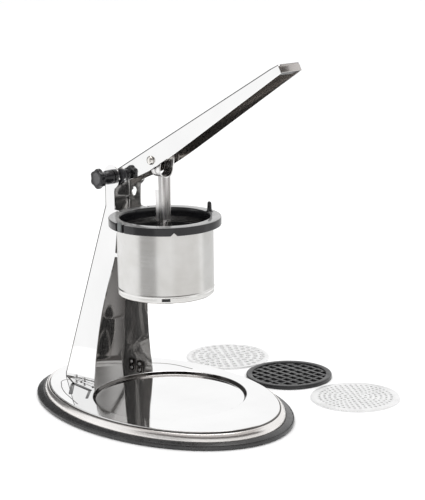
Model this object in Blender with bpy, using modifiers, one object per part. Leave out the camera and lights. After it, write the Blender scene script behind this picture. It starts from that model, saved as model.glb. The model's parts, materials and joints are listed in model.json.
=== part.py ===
"""Table-top lever ricer on an oval stand: a steel column carries a long lever, and the lever pushes
a round plunger into a steel pot that hangs in a black ring holder. Three strainer discs go with it.

The frame: +X is the front, the way the lever points; +Z is up. The origin lies on the mat's
underside, on the pot's axis. Run with: blender --background --python part.py
"""

from math import atan2, cos, degrees, hypot, pi, radians, sin, sqrt

import bmesh
import bpy
from mathutils import Matrix, Vector

MM = 0.001
GAP = 0.3 * MM  # clearance between pieces that touch
SHEET = 1.2 * MM  # column and lever sheet

# Base: rubber mat and pressed steel plate, both oval
BASE_CENTRE = -9 * MM
MAT_A, MAT_B = 152 * MM, 103 * MM  # half length and half width
MAT_FLOOR = 3 * MM
MAT_LIP = 6.2 * MM
PLATE_A, PLATE_B = 143.5 * MM, 95.5 * MM
PLATEAU_A, PLATEAU_B = 136 * MM, 90.5 * MM
PLATEAU_TOP = 13.5 * MM
PLATE_SHEET = 1 * MM
RECESS_CENTRE = 3 * MM
RECESS_RADIUS = 75 * MM
RECESS_DEPTH = 3.2 * MM
RECESS_WALL = 3 * MM  # how far the sloping wall runs inwards
BASE_STEPS = 52

# Pot and ring holder, both round the Z axis
POT_RADIUS = 46 * MM
POT_WALL = 1 * MM
POT_BOTTOM = 116 * MM
POT_LIP = 3 * MM  # inward lip that a disc rests on
RING_RADIUS = 53.7 * MM
RING_BORE = 43 * MM
RING_TOP = 190 * MM
RING_BOTTOM = 182 * MM
RING_GROOVE = 4.3 * MM  # depth of the groove for the pot's rim
POT_RIM = 48.2 * MM
POT_STEPS = 44
SLOT_ANGLE = -40  # degrees from +X to the middle of the pot's window

# Column: half width, back and bow of the web at foot and neck, and the flanges' front edges
COLUMN_FOOT = PLATEAU_TOP + GAP
COLUMN_TAPER_START = COLUMN_FOOT + 2 * MM  # upright below this
COLUMN_NECK = 192 * MM
COLUMN_WEB_TOP = 208 * MM
FOOT_HALF, NECK_HALF = 37.5 * MM, 16.5 * MM
FOOT_BACK, NECK_BACK = -135 * MM, -75 * MM
FOOT_BOW, NECK_BOW = 17.5 * MM, 1.5 * MM  # how far the web bulges backwards
BEND = 5 * MM  # outside radius of the fold between flange and web
FOOT_FRONT = -67 * MM
BELLY_LOW, BELLY_HIGH = 75 * MM, 160 * MM  # heights between which the front edge swells forwards
NECK_FRONT = -56 * MM
TAB_FRONT = -46 * MM  # upright tabs that the ring's slots drop over
SHOULDER_FRONT = -43 * MM  # ledges that the ring rests on
EAR_SLOT_X, EAR_SLOT_Z = -65 * MM, 203 * MM
EAR_SLOT_RADIUS = 3 * MM
EAR_SLOT_STRAIGHT = 3.4 * MM
EAR_SLOT_LEAN = 65  # degrees above the X axis
FLANGE_POINTS = 5
BEND_STEPS = 3
WEB_STEPS = 4  # across half of the web

# Foot bracket: its tabs come up through slots and the column's flanges are riveted to them
TAB_PLACES = (-86 * MM, -99 * MM)
TAB_HALF = 4 * MM
TAB_SHEET = 1.2 * MM
TAB_Y = FOOT_HALF - SHEET - GAP - TAB_SHEET / 2 - 0.6 * MM
TAB_TOP = PLATEAU_TOP + 6 * MM
RIVET_Z = PLATEAU_TOP + 3.2 * MM
RIVET_BORE = 1.3 * MM
RIVET_SHANK, RIVET_HEAD, RIVET_DOME = 1 * MM, 1.9 * MM, 1.1 * MM
BRACKET_TOP = PLATEAU_TOP - PLATE_SHEET - GAP
BRACKET_SHEET = 1.6 * MM

# Lever and its pivot
PIVOT = Vector((-60 * MM, 0, 222 * MM))
EAR_RADIUS = 12 * MM
LEVER_TILT = radians(29)
LEVER_LENGTH = 262 * MM
LEVER_HALF = 12.5 * MM
LEVER_REAR = 10.5 * MM  # radius of the rear end
LEVER_REAR_TOP, LEVER_END_TOP = 5.5 * MM, 1.6 * MM  # top face, across from the pivot
LEVER_END_DEPTH = 7.2 * MM
PLUG_LENGTH = 9 * MM
BOLT_RADIUS = 3 * MM
SLEEVE_RADIUS = 5 * MM
COLLAR_RADIUS = 7 * MM
COLLAR_LENGTH = 12 * MM
KNOB_RADIUS = 10 * MM
KNOB_LENGTH = 5.5 * MM
KNOB_LOBES = 6
LOBE_DEPTH = 0.07  # as a share of the knob's radius
WASHER_RADIUS = 8.5 * MM
NUT_WASHER_RADIUS, NUT_WASHER_THICK = 7 * MM, 1.2 * MM
NUT_RADIUS, NUT_THICK = 6.2 * MM, 5 * MM
BOLT_END_RADIUS, BOLT_END_THICK = 4.4 * MM, 0.9 * MM

# Plunger
PIN = Vector((-4 * MM, 0, 244.7 * MM))
PIN_RADIUS = 2.5 * MM
PIN_HEAD = 4.3 * MM
PIN_HEAD_HEIGHT = 3.4 * MM
SPACER_RADIUS = 4.6 * MM
CLEVIS_X = -2.5 * MM  # middle of the clevis strap
CLEVIS_HALF = 8.8 * MM  # half width across its outer faces
CLEVIS_TOP = 8 * MM  # above the pin
CLEVIS_TURN = 236 * MM  # below this height the strap turns under in a half round
CLEVIS_DEPTH_TOP, CLEVIS_DEPTH_LOW = 7.5 * MM, 6 * MM  # half depths at the pin and below
STEM_HALF = 5.5 * MM
STEM_DEPTH = 5 * MM
STEM_TOP = 229.6 * MM
STEM_BOTTOM = 185 * MM
RIB_TOP = 215 * MM
RIB_DEPTH, RIB_SHEET, RIB_Y = 4.6 * MM, 1.5 * MM, -4.3 * MM
GUSSET_FOOT_HALF, GUSSET_TOP_HALF = 13 * MM, 5 * MM
GUSSET_SHEET = 1.6 * MM
GUSSET_TURN = 40  # degrees about the stem
PLUNGER_CENTRE = -2.2 * MM
PLUNGER_RADIUS = 42 * MM
PLUNGER_FLOOR = 165.5 * MM
PLUNGER_RIM = 176 * MM
PLUNGER_SHEET = 1.5 * MM

# Strainer discs, laid flat on the table beside the base
DISC_RADIUS = 44 * MM
DISC_SHEET = 1.5 * MM
GRID_THICK = 4 * MM
GRID_PITCH_X, GRID_PITCH_Y = 10.4 * MM, 8.6 * MM
GRID_RIB, GRID_RIM = 2.4 * MM, 5 * MM
DISC_ROW_Y = 152 * MM
DISC_ROW_X = (-82 * MM, 12 * MM, 106 * MM)


def clear_scene():
    for obj in list(bpy.data.objects):
        bpy.data.objects.remove(obj, do_unlink=True)


def new_collection(name):
    made = bpy.data.collections.new(name)
    bpy.context.scene.collection.children.link(made)
    return made


def new_material(name, colour, roughness, metallic):
    made = bpy.data.materials.new(name)
    made.use_nodes = True
    shader = made.node_tree.nodes["Principled BSDF"]
    shader.inputs["Base Color"].default_value = (*colour, 1)
    shader.inputs["Roughness"].default_value = roughness
    shader.inputs["Metallic"].default_value = metallic
    return made


clear_scene()
PARTS = new_collection("lever_ricer")
CUTTERS = new_collection("cutters")
POLISHED = new_material("polished_steel", (0.78, 0.78, 0.79), 0.08, 1)
BRUSHED = new_material("brushed_steel", (0.68, 0.67, 0.66), 0.28, 1)
PLAIN_STEEL = new_material("plain_steel", (0.6, 0.6, 0.61), 0.35, 1)
DISC_STEEL = new_material("disc_steel", (0.85, 0.85, 0.86), 0.3, 1)
BLACK_PLASTIC = new_material("black_plastic", (0.02, 0.02, 0.022), 0.25, 0)
RUBBER = new_material("black_rubber", (0.035, 0.035, 0.037), 0.6, 0)
NYLON = new_material("nylon", (0.75, 0.74, 0.7), 0.5, 0)


# Making objects


def new_object(name, mesh, look, parent=None):
    """A part from a mesh whose points are in world space."""
    made = bpy.data.objects.new(name, mesh)
    PARTS.objects.link(made)
    mesh.materials.append(look)
    if parent:
        made.parent = parent
        made.matrix_parent_inverse = Matrix.Translation(parent.location).inverted()
    return made


def smooth(obj, angle=35):
    obj.data.shade_smooth()
    obj.data.set_sharp_from_angle(angle=radians(angle))


def joint_empty(name, place, parent=None):
    made = bpy.data.objects.new(name, None)
    made.location = place
    PARTS.objects.link(made)
    if parent:
        made.parent = parent
        made.matrix_parent_inverse = Matrix.Translation(parent.location).inverted()
    return made


def turned(
    name, profile, look, steps=POT_STEPS, closed=True, centre=(0, 0, 0), along="Z", parent=None
):
    """A profile of (radius, height) points turned about an axis. The outer side runs top to bottom."""
    mesh = bpy.data.meshes.new(name)
    points = [(radius, 0, height) for radius, height in profile]
    count = len(points)
    edges = [(i, (i + 1) % count) for i in range(count if closed else count - 1)]
    mesh.from_pydata(points, edges, [])
    if along == "Z":
        turn = Matrix.Identity(4)
    else:
        turn = Matrix.Rotation(pi / 2, 4, "X")  # the profile's height then runs to -Y
    made = new_object(name, mesh, look)
    made.matrix_world = Matrix.Translation(centre) @ turn
    screw = made.modifiers.new("turn", "SCREW")
    screw.steps = steps
    screw.render_steps = steps
    screw.use_merge_vertices = True
    screw.merge_threshold = 0.00001
    screw.use_smooth_shade = True
    if parent:
        made.parent = parent
        made.matrix_parent_inverse = Matrix.Translation(parent.location).inverted()
    return made


def outline_mesh(name, loops, thickness, plane, offset):
    """A flat plate from closed outlines; loops inside the first one are holes. plane is XY or XZ."""
    curve = bpy.data.curves.new(name, "CURVE")
    curve.dimensions = "2D"
    curve.fill_mode = "BOTH"
    curve.extrude = thickness / 2
    for loop in loops:
        spline = curve.splines.new("POLY")
        spline.points.add(len(loop) - 1)
        for point, (u, v) in zip(spline.points, loop):
            point.co = (u, v, 0, 1)
        spline.use_cyclic_u = True
    guide = bpy.data.objects.new(name + "_guide", curve)
    CUTTERS.objects.link(guide)
    if plane == "XY":
        guide.matrix_world = Matrix.Translation((0, 0, offset))
    else:
        guide.matrix_world = Matrix.Translation((0, offset, 0)) @ Matrix.Rotation(pi / 2, 4, "X")
    bpy.context.view_layer.update()
    graph = bpy.context.evaluated_depsgraph_get()
    mesh = bpy.data.meshes.new_from_object(guide.evaluated_get(graph))
    mesh.transform(guide.matrix_world)
    bpy.data.objects.remove(guide, do_unlink=True)
    weld(mesh)
    mesh.name = name
    return mesh


def weld(mesh):
    cage = bmesh.new()
    cage.from_mesh(mesh)
    bmesh.ops.remove_doubles(cage, verts=cage.verts, dist=0.00001)
    bmesh.ops.recalc_face_normals(cage, faces=cage.faces)
    cage.to_mesh(mesh)
    cage.free()


def plate(name, loops, thickness, look, plane="XY", offset=0.0, parent=None):
    return new_object(name, outline_mesh(name, loops, thickness, plane, offset), look, parent)


def cutter(name, mesh):
    made = bpy.data.objects.new(name, mesh)
    CUTTERS.objects.link(made)
    made.hide_render = True
    made.display_type = "WIRE"
    return made


def combine(obj, other, operation):
    boolean = obj.modifiers.new(operation.lower(), "BOOLEAN")
    boolean.operation = operation
    boolean.solver = "EXACT"
    boolean.object = other


def box_mesh(name, low, high):
    mesh = bpy.data.meshes.new(name)
    cage = bmesh.new()
    bmesh.ops.create_cube(cage, size=1)
    size = Vector(high) - Vector(low)
    middle = (Vector(high) + Vector(low)) / 2
    place = Matrix.Translation(middle) @ Matrix.Diagonal((*size, 1))
    bmesh.ops.transform(cage, verts=cage.verts, matrix=place)
    cage.to_mesh(mesh)
    cage.free()
    return mesh


def rod_mesh(name, centre, radius, length, steps=24):
    """A cylinder along Y."""
    mesh = bpy.data.meshes.new(name)
    cage = bmesh.new()
    place = Matrix.Translation(centre) @ Matrix.Rotation(pi / 2, 4, "X")
    bmesh.ops.create_cone(
        cage, cap_ends=True, segments=steps, radius1=radius, radius2=radius, depth=length, matrix=place
    )
    cage.to_mesh(mesh)
    cage.free()
    return mesh


def arc(centre, radius, start, end, steps):
    """Points on a circle from one angle to another, in degrees, both ends included."""
    angles = [radians(start + (end - start) * i / steps) for i in range(steps + 1)]
    return [(centre[0] + radius * cos(a), centre[1] + radius * sin(a)) for a in angles]


def circle(centre, radius, steps, phase=0.0):
    return arc(centre, radius, phase, phase + 360, steps)[:-1]


def mix(low, high, share):
    return low + (high - low) * share


def ease(share):
    share = min(max(share, 0.0), 1.0)
    return share * share * (3 - 2 * share)


def sheet_object(name, rows, look, thickness, offset, closed=False, skip=None, parent=None):
    """A sheet lofted through rows of points, made solid to one side."""
    mesh = bpy.data.meshes.new(name)
    cage = bmesh.new()
    grid = [[cage.verts.new(point) for point in row] for row in rows]
    columns = len(rows[0])
    for j in range(len(rows) - 1):
        for i in range(columns if closed else columns - 1):
            if skip and skip(j, i):
                continue
            k = (i + 1) % columns
            cage.faces.new((grid[j][i], grid[j][k], grid[j + 1][k], grid[j + 1][i]))
    bmesh.ops.delete(cage, geom=[v for v in cage.verts if not v.link_faces], context="VERTS")
    cage.to_mesh(mesh)
    cage.free()
    made = new_object(name, mesh, look, parent)
    solid = made.modifiers.new("thickness", "SOLIDIFY")
    solid.thickness = thickness
    solid.offset = offset
    return made


def oval(centre_x, a, b, height):
    return [
        (centre_x + a * cos(2 * pi * i / BASE_STEPS), b * sin(2 * pi * i / BASE_STEPS), height)
        for i in range(BASE_STEPS)
    ]


# Base


def make_mat():
    """Rubber tray: a floor under the steel plate and a lip round its edge."""
    lip_a, lip_b = PLATE_A + GAP, PLATE_B + GAP
    rings = [
        oval(BASE_CENTRE, MAT_A - 1.5 * MM, MAT_B - 1.5 * MM, 0),
        oval(BASE_CENTRE, MAT_A, MAT_B, 1.2 * MM),
        oval(BASE_CENTRE, MAT_A - 0.6 * MM, MAT_B - 0.6 * MM, 4.4 * MM),
        oval(BASE_CENTRE, MAT_A - 2.4 * MM, MAT_B - 2.4 * MM, MAT_LIP),
        oval(BASE_CENTRE, lip_a + 0.8 * MM, lip_b + 0.8 * MM, MAT_LIP),
        oval(BASE_CENTRE, lip_a, lip_b, MAT_LIP - 0.8 * MM),
        oval(BASE_CENTRE, lip_a, lip_b, MAT_FLOOR),
    ]
    mesh = bpy.data.meshes.new("base_mat")
    cage = bmesh.new()
    grid = [[cage.verts.new(point) for point in ring] for ring in rings]
    for lower, upper in zip(grid, grid[1:]):
        for i in range(BASE_STEPS):
            k = (i + 1) % BASE_STEPS
            cage.faces.new((lower[i], lower[k], upper[k], upper[i]))
    cage.faces.new(reversed(grid[0]))
    cage.faces.new(grid[-1])
    cage.to_mesh(mesh)
    cage.free()
    smooth(new_object("base_mat", mesh, RUBBER), 40)


def make_base_plate():
    """Pressed steel shell: rounded rim, step, flat top and a round recess for a bowl."""
    rows = [
        oval(BASE_CENTRE, PLATE_A, PLATE_B, MAT_FLOOR + GAP),
        oval(BASE_CENTRE, PLATE_A - 0.2 * MM, PLATE_B - 0.2 * MM, 7 * MM),
        oval(BASE_CENTRE, PLATE_A - 1.8 * MM, PLATE_B - 1.6 * MM, 9.6 * MM),
        oval(BASE_CENTRE, PLATE_A - 4.4 * MM, PLATE_B - 3.6 * MM, 11.4 * MM),
        oval(BASE_CENTRE, PLATEAU_A + 0.8 * MM, PLATEAU_B + 0.8 * MM, 12 * MM),
        oval(BASE_CENTRE, PLATEAU_A, PLATEAU_B, PLATEAU_TOP),
        oval(RECESS_CENTRE, RECESS_RADIUS, RECESS_RADIUS, PLATEAU_TOP),
        oval(RECESS_CENTRE, RECESS_RADIUS - 1.5 * MM, RECESS_RADIUS - 1.5 * MM, PLATEAU_TOP - 0.7 * MM),
        oval(
            RECESS_CENTRE,
            RECESS_RADIUS - RECESS_WALL,
            RECESS_RADIUS - RECESS_WALL,
            PLATEAU_TOP - RECESS_DEPTH,
        ),
    ]
    made = sheet_object("base_plate", rows, POLISHED, PLATE_SHEET, -1, closed=True)
    cage = bmesh.new()
    cage.from_mesh(made.data)
    cage.verts.ensure_lookup_table()
    cage.faces.new(cage.verts[-BASE_STEPS:])
    cage.to_mesh(made.data)
    cage.free()
    for side in (-1, 1):
        for middle in TAB_PLACES:
            slot = box_mesh(
                "tab_slot",
                (middle - TAB_HALF - GAP, side * TAB_Y - TAB_SHEET / 2 - GAP, PLATEAU_TOP - 4 * MM),
                (middle + TAB_HALF + GAP, side * TAB_Y + TAB_SHEET / 2 + GAP, PLATEAU_TOP + 4 * MM),
            )
            combine(made, cutter(f"tab_slot_{side}_{round(middle / MM)}", slot), "DIFFERENCE")
    smooth(made)


def make_foot_bracket():
    """Strip under the plate with four tabs bent up through the slots."""
    half = TAB_Y + TAB_SHEET / 2
    strip = box_mesh(
        "foot_bracket",
        (TAB_PLACES[1] - TAB_HALF - 3 * MM, -half, BRACKET_TOP - BRACKET_SHEET),
        (TAB_PLACES[0] + TAB_HALF + 3 * MM, half, BRACKET_TOP),
    )
    made = new_object("foot_bracket", strip, PLAIN_STEEL)
    for side in (-1, 1):
        for middle in TAB_PLACES:
            word = f"{side}_{round(middle / MM)}"
            tab = box_mesh(
                "tab",
                (middle - TAB_HALF, side * TAB_Y - TAB_SHEET / 2, BRACKET_TOP - BRACKET_SHEET / 2),
                (middle + TAB_HALF, side * TAB_Y + TAB_SHEET / 2, TAB_TOP),
            )
            combine(made, cutter(f"tab_{word}", tab), "UNION")
            hole = rod_mesh("hole", (middle, side * TAB_Y, RIVET_Z), RIVET_BORE, 6 * MM, 12)
            combine(made, cutter(f"tab_hole_{word}", hole), "DIFFERENCE")


def rivet_profile(shank, head, head_height, length):
    """A domed head above, a shank, and a flat head below, from the top down."""
    dome = [(head * cos(a), head_height * sin(a)) for a in (pi / 2, pi / 3, pi / 6, 0)]
    dome[0] = (0, head_height)
    return [
        *dome,
        (shank, 0),
        (shank, -length),
        (head * 0.85, -length),
        (head * 0.85, -length - 0.8 * MM),
        (0, -length - 0.8 * MM),
    ]


def make_foot_rivets():
    """One rivet through each tab and the flange beside it, its dome on the inside."""
    outer = FOOT_HALF + GAP
    inner = TAB_Y - TAB_SHEET / 2 - GAP
    for side, word in ((-1, "near"), (1, "far")):
        for middle, where in zip(TAB_PLACES, ("front", "rear")):
            made = turned(
                f"foot_rivet_{word}_{where}",
                rivet_profile(RIVET_SHANK, RIVET_HEAD, RIVET_DOME, outer - inner),
                PLAIN_STEEL,
                steps=12,
                closed=False,
                along="Y",
            )
            place = Matrix.Translation((middle, side * inner, RIVET_Z))
            made.matrix_world = place @ Matrix.Rotation(side * pi / 2, 4, "X")


def column_section(height):
    """(front, half width, back, bow of the web) at a height."""
    rise = (height - COLUMN_TAPER_START) / (COLUMN_NECK - COLUMN_TAPER_START)
    share = min(max(rise, 0.0), 1.0)
    half = mix(FOOT_HALF, NECK_HALF, share)
    back = mix(FOOT_BACK, NECK_BACK, share)
    bow = mix(FOOT_BOW, NECK_BOW, share)
    return column_front(height), half, back, bow


def column_front(height):
    """The flanges' front edge: straight foot, a belly that carries the ring, then the neck."""
    if height > RING_TOP + 0.1 * MM:
        return NECK_FRONT
    if height > RING_BOTTOM - GAP - 0.1 * MM:
        return TAB_FRONT
    belly = ease((height - BELLY_LOW) / (BELLY_HIGH - BELLY_LOW))
    return mix(FOOT_FRONT, SHOULDER_FRONT - 1 * MM, belly)


def ear_reach(height):
    """Half width of the round ear at a height, measured from the pivot."""
    rise = height - PIVOT.z
    return sqrt(max(EAR_RADIUS**2 - rise**2, (1.5 * MM) ** 2))


def web_slope(half, bow):
    """Slope of the bowed web where the fold meets it, in radians, and half the bowed width."""
    slope, reach = 0.0, half
    for _ in range(5):
        slope = atan2(2 * bow, reach)
        reach = half - BEND * (1 - sin(slope))
    return slope, reach


def column_row(height):
    """Points round the open section, from the near flange's front edge to the far one's."""
    front, half, back, bow = column_section(height)
    slope, reach = web_slope(half, bow)
    centre = (back + bow + BEND * cos(slope), BEND - half)
    rear = centre[0]
    if height > COLUMN_WEB_TOP:
        ear = ear_reach(height)
        below = height < PIVOT.z
        front = max(front, PIVOT.x + ear) if below else PIVOT.x + ear
        rear = min(rear, PIVOT.x - ear) if below else PIVOT.x - ear
    near = [(mix(front, rear, i / (FLANGE_POINTS - 1)), -half) for i in range(FLANGE_POINTS)]
    near += arc(centre, BEND, 270, 180 + degrees(slope), BEND_STEPS)[1:]
    for i in range(1, WEB_STEPS):
        share = 1 - i / WEB_STEPS
        near.append((back + bow * share**2, -reach * share))
    around = near + [(back, 0)] + [(x, -y) for x, y in reversed(near)]
    return [(x, y, height) for x, y in around]


def column_heights():
    """Heights of the section's rows: foot, taper, the ring's ledge, the tabs, neck and ears."""
    shoulder = RING_BOTTOM - GAP
    heights = [COLUMN_FOOT, COLUMN_TAPER_START]
    heights += [level * MM for level in (46, 75, 90, 103, 116, 130, 145, 166)]
    heights += [shoulder - 0.4 * MM, shoulder, RING_TOP, RING_TOP + 0.4 * MM]
    heights += [COLUMN_NECK, COLUMN_WEB_TOP]
    ear_turns = (-62, -48, -30, -12, 8, 26, 44, 60, 74, 82)
    return heights + [PIVOT.z + EAR_RADIUS * sin(radians(turn)) for turn in ear_turns]


def make_column():
    """Folded sheet: two flanges and a bowed back, open to the front, with round ears on top."""
    heights = column_heights()
    rows = [column_row(height) for height in heights]
    web_row = heights.index(COLUMN_WEB_TOP)
    flange = FLANGE_POINTS - 1
    count = len(rows[0]) - 1

    def above_web(j, i):
        return j >= web_row and flange <= i < count - flange

    made = sheet_object("column", rows, POLISHED, SHEET, 1, skip=above_web)
    bore = rod_mesh("pivot_bore", PIVOT, BOLT_RADIUS + GAP, 60 * MM)
    combine(made, cutter("pivot_bore", bore), "DIFFERENCE")
    for side in (-1, 1):
        for middle in TAB_PLACES:
            hole = rod_mesh("rivet_bore", (middle, side * FOOT_HALF, RIVET_Z), RIVET_BORE, 6 * MM, 12)
            combine(made, cutter(f"rivet_bore_{side}_{round(middle / MM)}", hole), "DIFFERENCE")
    combine(made, cutter("ear_slot", far_ear_slot()), "DIFFERENCE")
    smooth(made)


def far_ear_slot():
    """A leaning long hole with round ends, through the far flange below its ear."""
    lean = EAR_SLOT_LEAN
    half = EAR_SLOT_STRAIGHT / 2
    run, rise = half * cos(radians(lean)), half * sin(radians(lean))
    upper = (EAR_SLOT_X + run, EAR_SLOT_Z + rise)
    lower = (EAR_SLOT_X - run, EAR_SLOT_Z - rise)
    loop = arc(upper, EAR_SLOT_RADIUS, lean - 90, lean + 90, 8)
    loop += arc(lower, EAR_SLOT_RADIUS, lean + 90, lean + 270, 8)
    return outline_mesh("ear_slot", [loop], 2 * NECK_HALF, "XZ", 1.5 * NECK_HALF)


# Pot and ring


def make_ring():
    """Black holder: a flat ring with a groove below for the pot's rim and two slots for the tabs."""
    outer, top, low = RING_RADIUS, RING_TOP, RING_BOTTOM
    groove_out, groove_in = POT_RIM + GAP, POT_RADIUS - POT_WALL - GAP
    groove_top = low + RING_GROOVE
    profile = [
        (RING_BORE + 0.8 * MM, top),
        (outer - 1 * MM, top),
        (outer, top - 1 * MM),
        (outer, low + 0.8 * MM),
        (outer - 0.8 * MM, low),
        (groove_out, low),
        (groove_out, groove_top),
        (groove_in, groove_top),
        (groove_in, low - 1.2 * MM),
        (RING_BORE + 0.5 * MM, low - 1.2 * MM),
        (RING_BORE, low),
        (RING_BORE, top - 0.8 * MM),
    ]
    made = turned("pot_ring", profile, BLACK_PLASTIC)
    for side in (-1, 1):
        middle = side * (ring_flange_y() - SHEET / 2)
        wide = SHEET / 2 + 0.9 * MM
        slot = box_mesh(
            "ring_slot",
            (-60 * MM, middle - wide, low - 3 * MM),
            (TAB_FRONT + 0.8 * MM, middle + wide, top + 3 * MM),
        )
        combine(made, cutter(f"ring_slot_{side}", slot), "DIFFERENCE")


def ring_flange_y():
    """Half width of the column at the ring's middle height."""
    return column_section((RING_TOP + RING_BOTTOM) / 2)[1]


def make_ring_peg():
    """Small upright thumb tab on the ring's inner edge."""
    angle = radians(73)
    middle = RING_BORE + 3.4 * MM
    made = new_object(
        "ring_peg",
        box_mesh("ring_peg", (-2.5 * MM, -2 * MM, RING_TOP + GAP), (2.5 * MM, 2 * MM, RING_TOP + 10 * MM)),
        BLACK_PLASTIC,
    )
    made.matrix_world = Matrix.Rotation(angle - pi / 2, 4, "Z") @ Matrix.Translation((0, middle, 0))
    bevel = made.modifiers.new("soft_edges", "BEVEL")
    bevel.width = 1.2 * MM
    bevel.segments = 2
    bevel.limit_method = "ANGLE"


def make_pot():
    """Steel cup with no floor: a rolled rim, a bead low down and an inward lip for a disc."""
    out, wall = POT_RADIUS, POT_WALL
    rim_top = RING_BOTTOM + RING_GROOVE - GAP
    bead = POT_BOTTOM + 6 * MM
    profile = [
        (out - wall, rim_top),
        (POT_RIM, rim_top),
        (POT_RIM, rim_top - 1.4 * MM),
        (out, rim_top - 1.4 * MM),
        (out, bead + 1.2 * MM),
        (out + 0.5 * MM, bead + 0.6 * MM),
        (out + 0.5 * MM, bead - 0.6 * MM),
        (out, bead - 1.2 * MM),
        (out, POT_BOTTOM + 1.2 * MM),
        (out - 1 * MM, POT_BOTTOM),
        (out - wall - POT_LIP, POT_BOTTOM),
        (out - wall - POT_LIP, POT_BOTTOM + wall),
        (out - wall, POT_BOTTOM + wall),
    ]
    made = turned("pot", profile, BRUSHED)
    for index, angle in enumerate((SLOT_ANGLE, SLOT_ANGLE + 180)):
        window = box_mesh(
            "pot_window",
            (POT_RADIUS - 5 * MM, -4 * MM, POT_BOTTOM + 2.2 * MM),
            (POT_RADIUS + 5 * MM, 4 * MM, POT_BOTTOM + 4.4 * MM),
        )
        cut = cutter(f"pot_window_{index}", window)
        cut.matrix_world = Matrix.Rotation(radians(angle), 4, "Z")
        combine(made, cut, "DIFFERENCE")


# Pivot


def washer_profile(outer, inner, length):
    """A tube from height 0 to length."""
    return [(inner, length), (outer, length), (outer, 0), (inner, 0)]


def along_minus_y(y):
    return (PIVOT.x, y, PIVOT.z)


def make_pivot_tubes():
    """Collar, washers and the lever's sleeve, all round the bolt."""
    bore = BOLT_RADIUS + GAP
    start = -NECK_HALF - GAP  # outer face of the near ear
    collar = washer_profile(COLLAR_RADIUS, bore, COLLAR_LENGTH)
    turned("knob_collar", collar, BLACK_PLASTIC, 28, centre=along_minus_y(start), along="Y")
    thick = NECK_HALF - SHEET - LEVER_HALF - 2 * GAP
    washer = washer_profile(WASHER_RADIUS, bore, thick)
    near, far = -LEVER_HALF - GAP, LEVER_HALF + GAP + thick
    turned("pivot_washer_near", washer, NYLON, 24, centre=along_minus_y(near), along="Y")
    turned("pivot_washer_far", washer, NYLON, 24, centre=along_minus_y(far), along="Y")
    sleeve = washer_profile(SLEEVE_RADIUS, bore, 2 * LEVER_HALF)
    turned("pivot_sleeve", sleeve, PLAIN_STEEL, 24, centre=along_minus_y(LEVER_HALF), along="Y")
    nut_washer = washer_profile(NUT_WASHER_RADIUS, bore, NUT_WASHER_THICK)
    outside = NECK_HALF + GAP + NUT_WASHER_THICK
    turned("nut_washer", nut_washer, PLAIN_STEEL, 24, centre=along_minus_y(outside), along="Y")


def make_pivot(knob_axis):
    """Nut, bolt and lobed knob."""
    knob_start = -NECK_HALF - GAP - COLLAR_LENGTH - GAP
    nut_start = NECK_HALF + GAP + NUT_WASHER_THICK + GAP
    nut_end = nut_start + NUT_THICK
    hexagon = circle((PIVOT.x, PIVOT.z), NUT_RADIUS, 6)
    bore = circle((PIVOT.x, PIVOT.z), BOLT_RADIUS + GAP, 20)
    nut_middle = (nut_start + nut_end) / 2
    plate("pivot_nut", [hexagon, bore], NUT_THICK, PLAIN_STEEL, "XZ", nut_middle)
    tip = nut_end + 2 * MM
    length = tip - knob_start + KNOB_LENGTH
    bolt = [
        (0, length + GAP + BOLT_END_THICK),
        (BOLT_END_RADIUS, length + GAP + BOLT_END_THICK),
        (BOLT_END_RADIUS, length + GAP),
        (BOLT_RADIUS, length + GAP),
        (BOLT_RADIUS, 0.6 * MM),
        (BOLT_RADIUS - 0.6 * MM, 0),
        (0, 0),
    ]
    place = along_minus_y(tip)
    turned("pivot_bolt", bolt, PLAIN_STEEL, 20, closed=False, centre=place, along="Y", parent=knob_axis)
    lobed = []
    for i in range(KNOB_LOBES * 8):
        turn = 2 * pi * i / (KNOB_LOBES * 8)
        reach = KNOB_RADIUS * (1 - LOBE_DEPTH * cos(KNOB_LOBES * turn)) / (1 + LOBE_DEPTH)
        lobed.append((PIVOT.x + reach * cos(turn), PIVOT.z + reach * sin(turn)))
    middle = knob_start - KNOB_LENGTH / 2
    knob = plate("knob", [lobed, bore], KNOB_LENGTH, BLACK_PLASTIC, "XZ", middle, knob_axis)
    bevel = knob.modifiers.new("soft_edges", "BEVEL")
    bevel.width = 0.9 * MM
    bevel.segments = 2
    bevel.limit_method = "ANGLE"
    bevel.angle_limit = radians(60)


# Lever


def lever_point(along, across):
    """(x, z) of a point given along and across the lever, from the pivot."""
    return (
        PIVOT.x + along * cos(LEVER_TILT) - across * sin(LEVER_TILT),
        PIVOT.z + along * sin(LEVER_TILT) + across * cos(LEVER_TILT),
    )


def lever_top(along):
    return mix(LEVER_REAR_TOP, LEVER_END_TOP, along / LEVER_LENGTH)


def lever_side_outline():
    """The side's outline in the lever's own length and depth: a round rear end and a long taper."""
    under = [(16, -10.6), (30, -12.6), (44, -14), (58, -14.6), (76, -14.8), (100, -14.2)]
    loop = [(0, lever_top(0))]
    loop += arc((0, 0), LEVER_REAR, 155, 275, 5)
    loop += [(along * MM, depth * MM) for along, depth in under]
    loop += [(LEVER_LENGTH, -LEVER_END_DEPTH), (LEVER_LENGTH, lever_top(LEVER_LENGTH))]
    return loop


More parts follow.
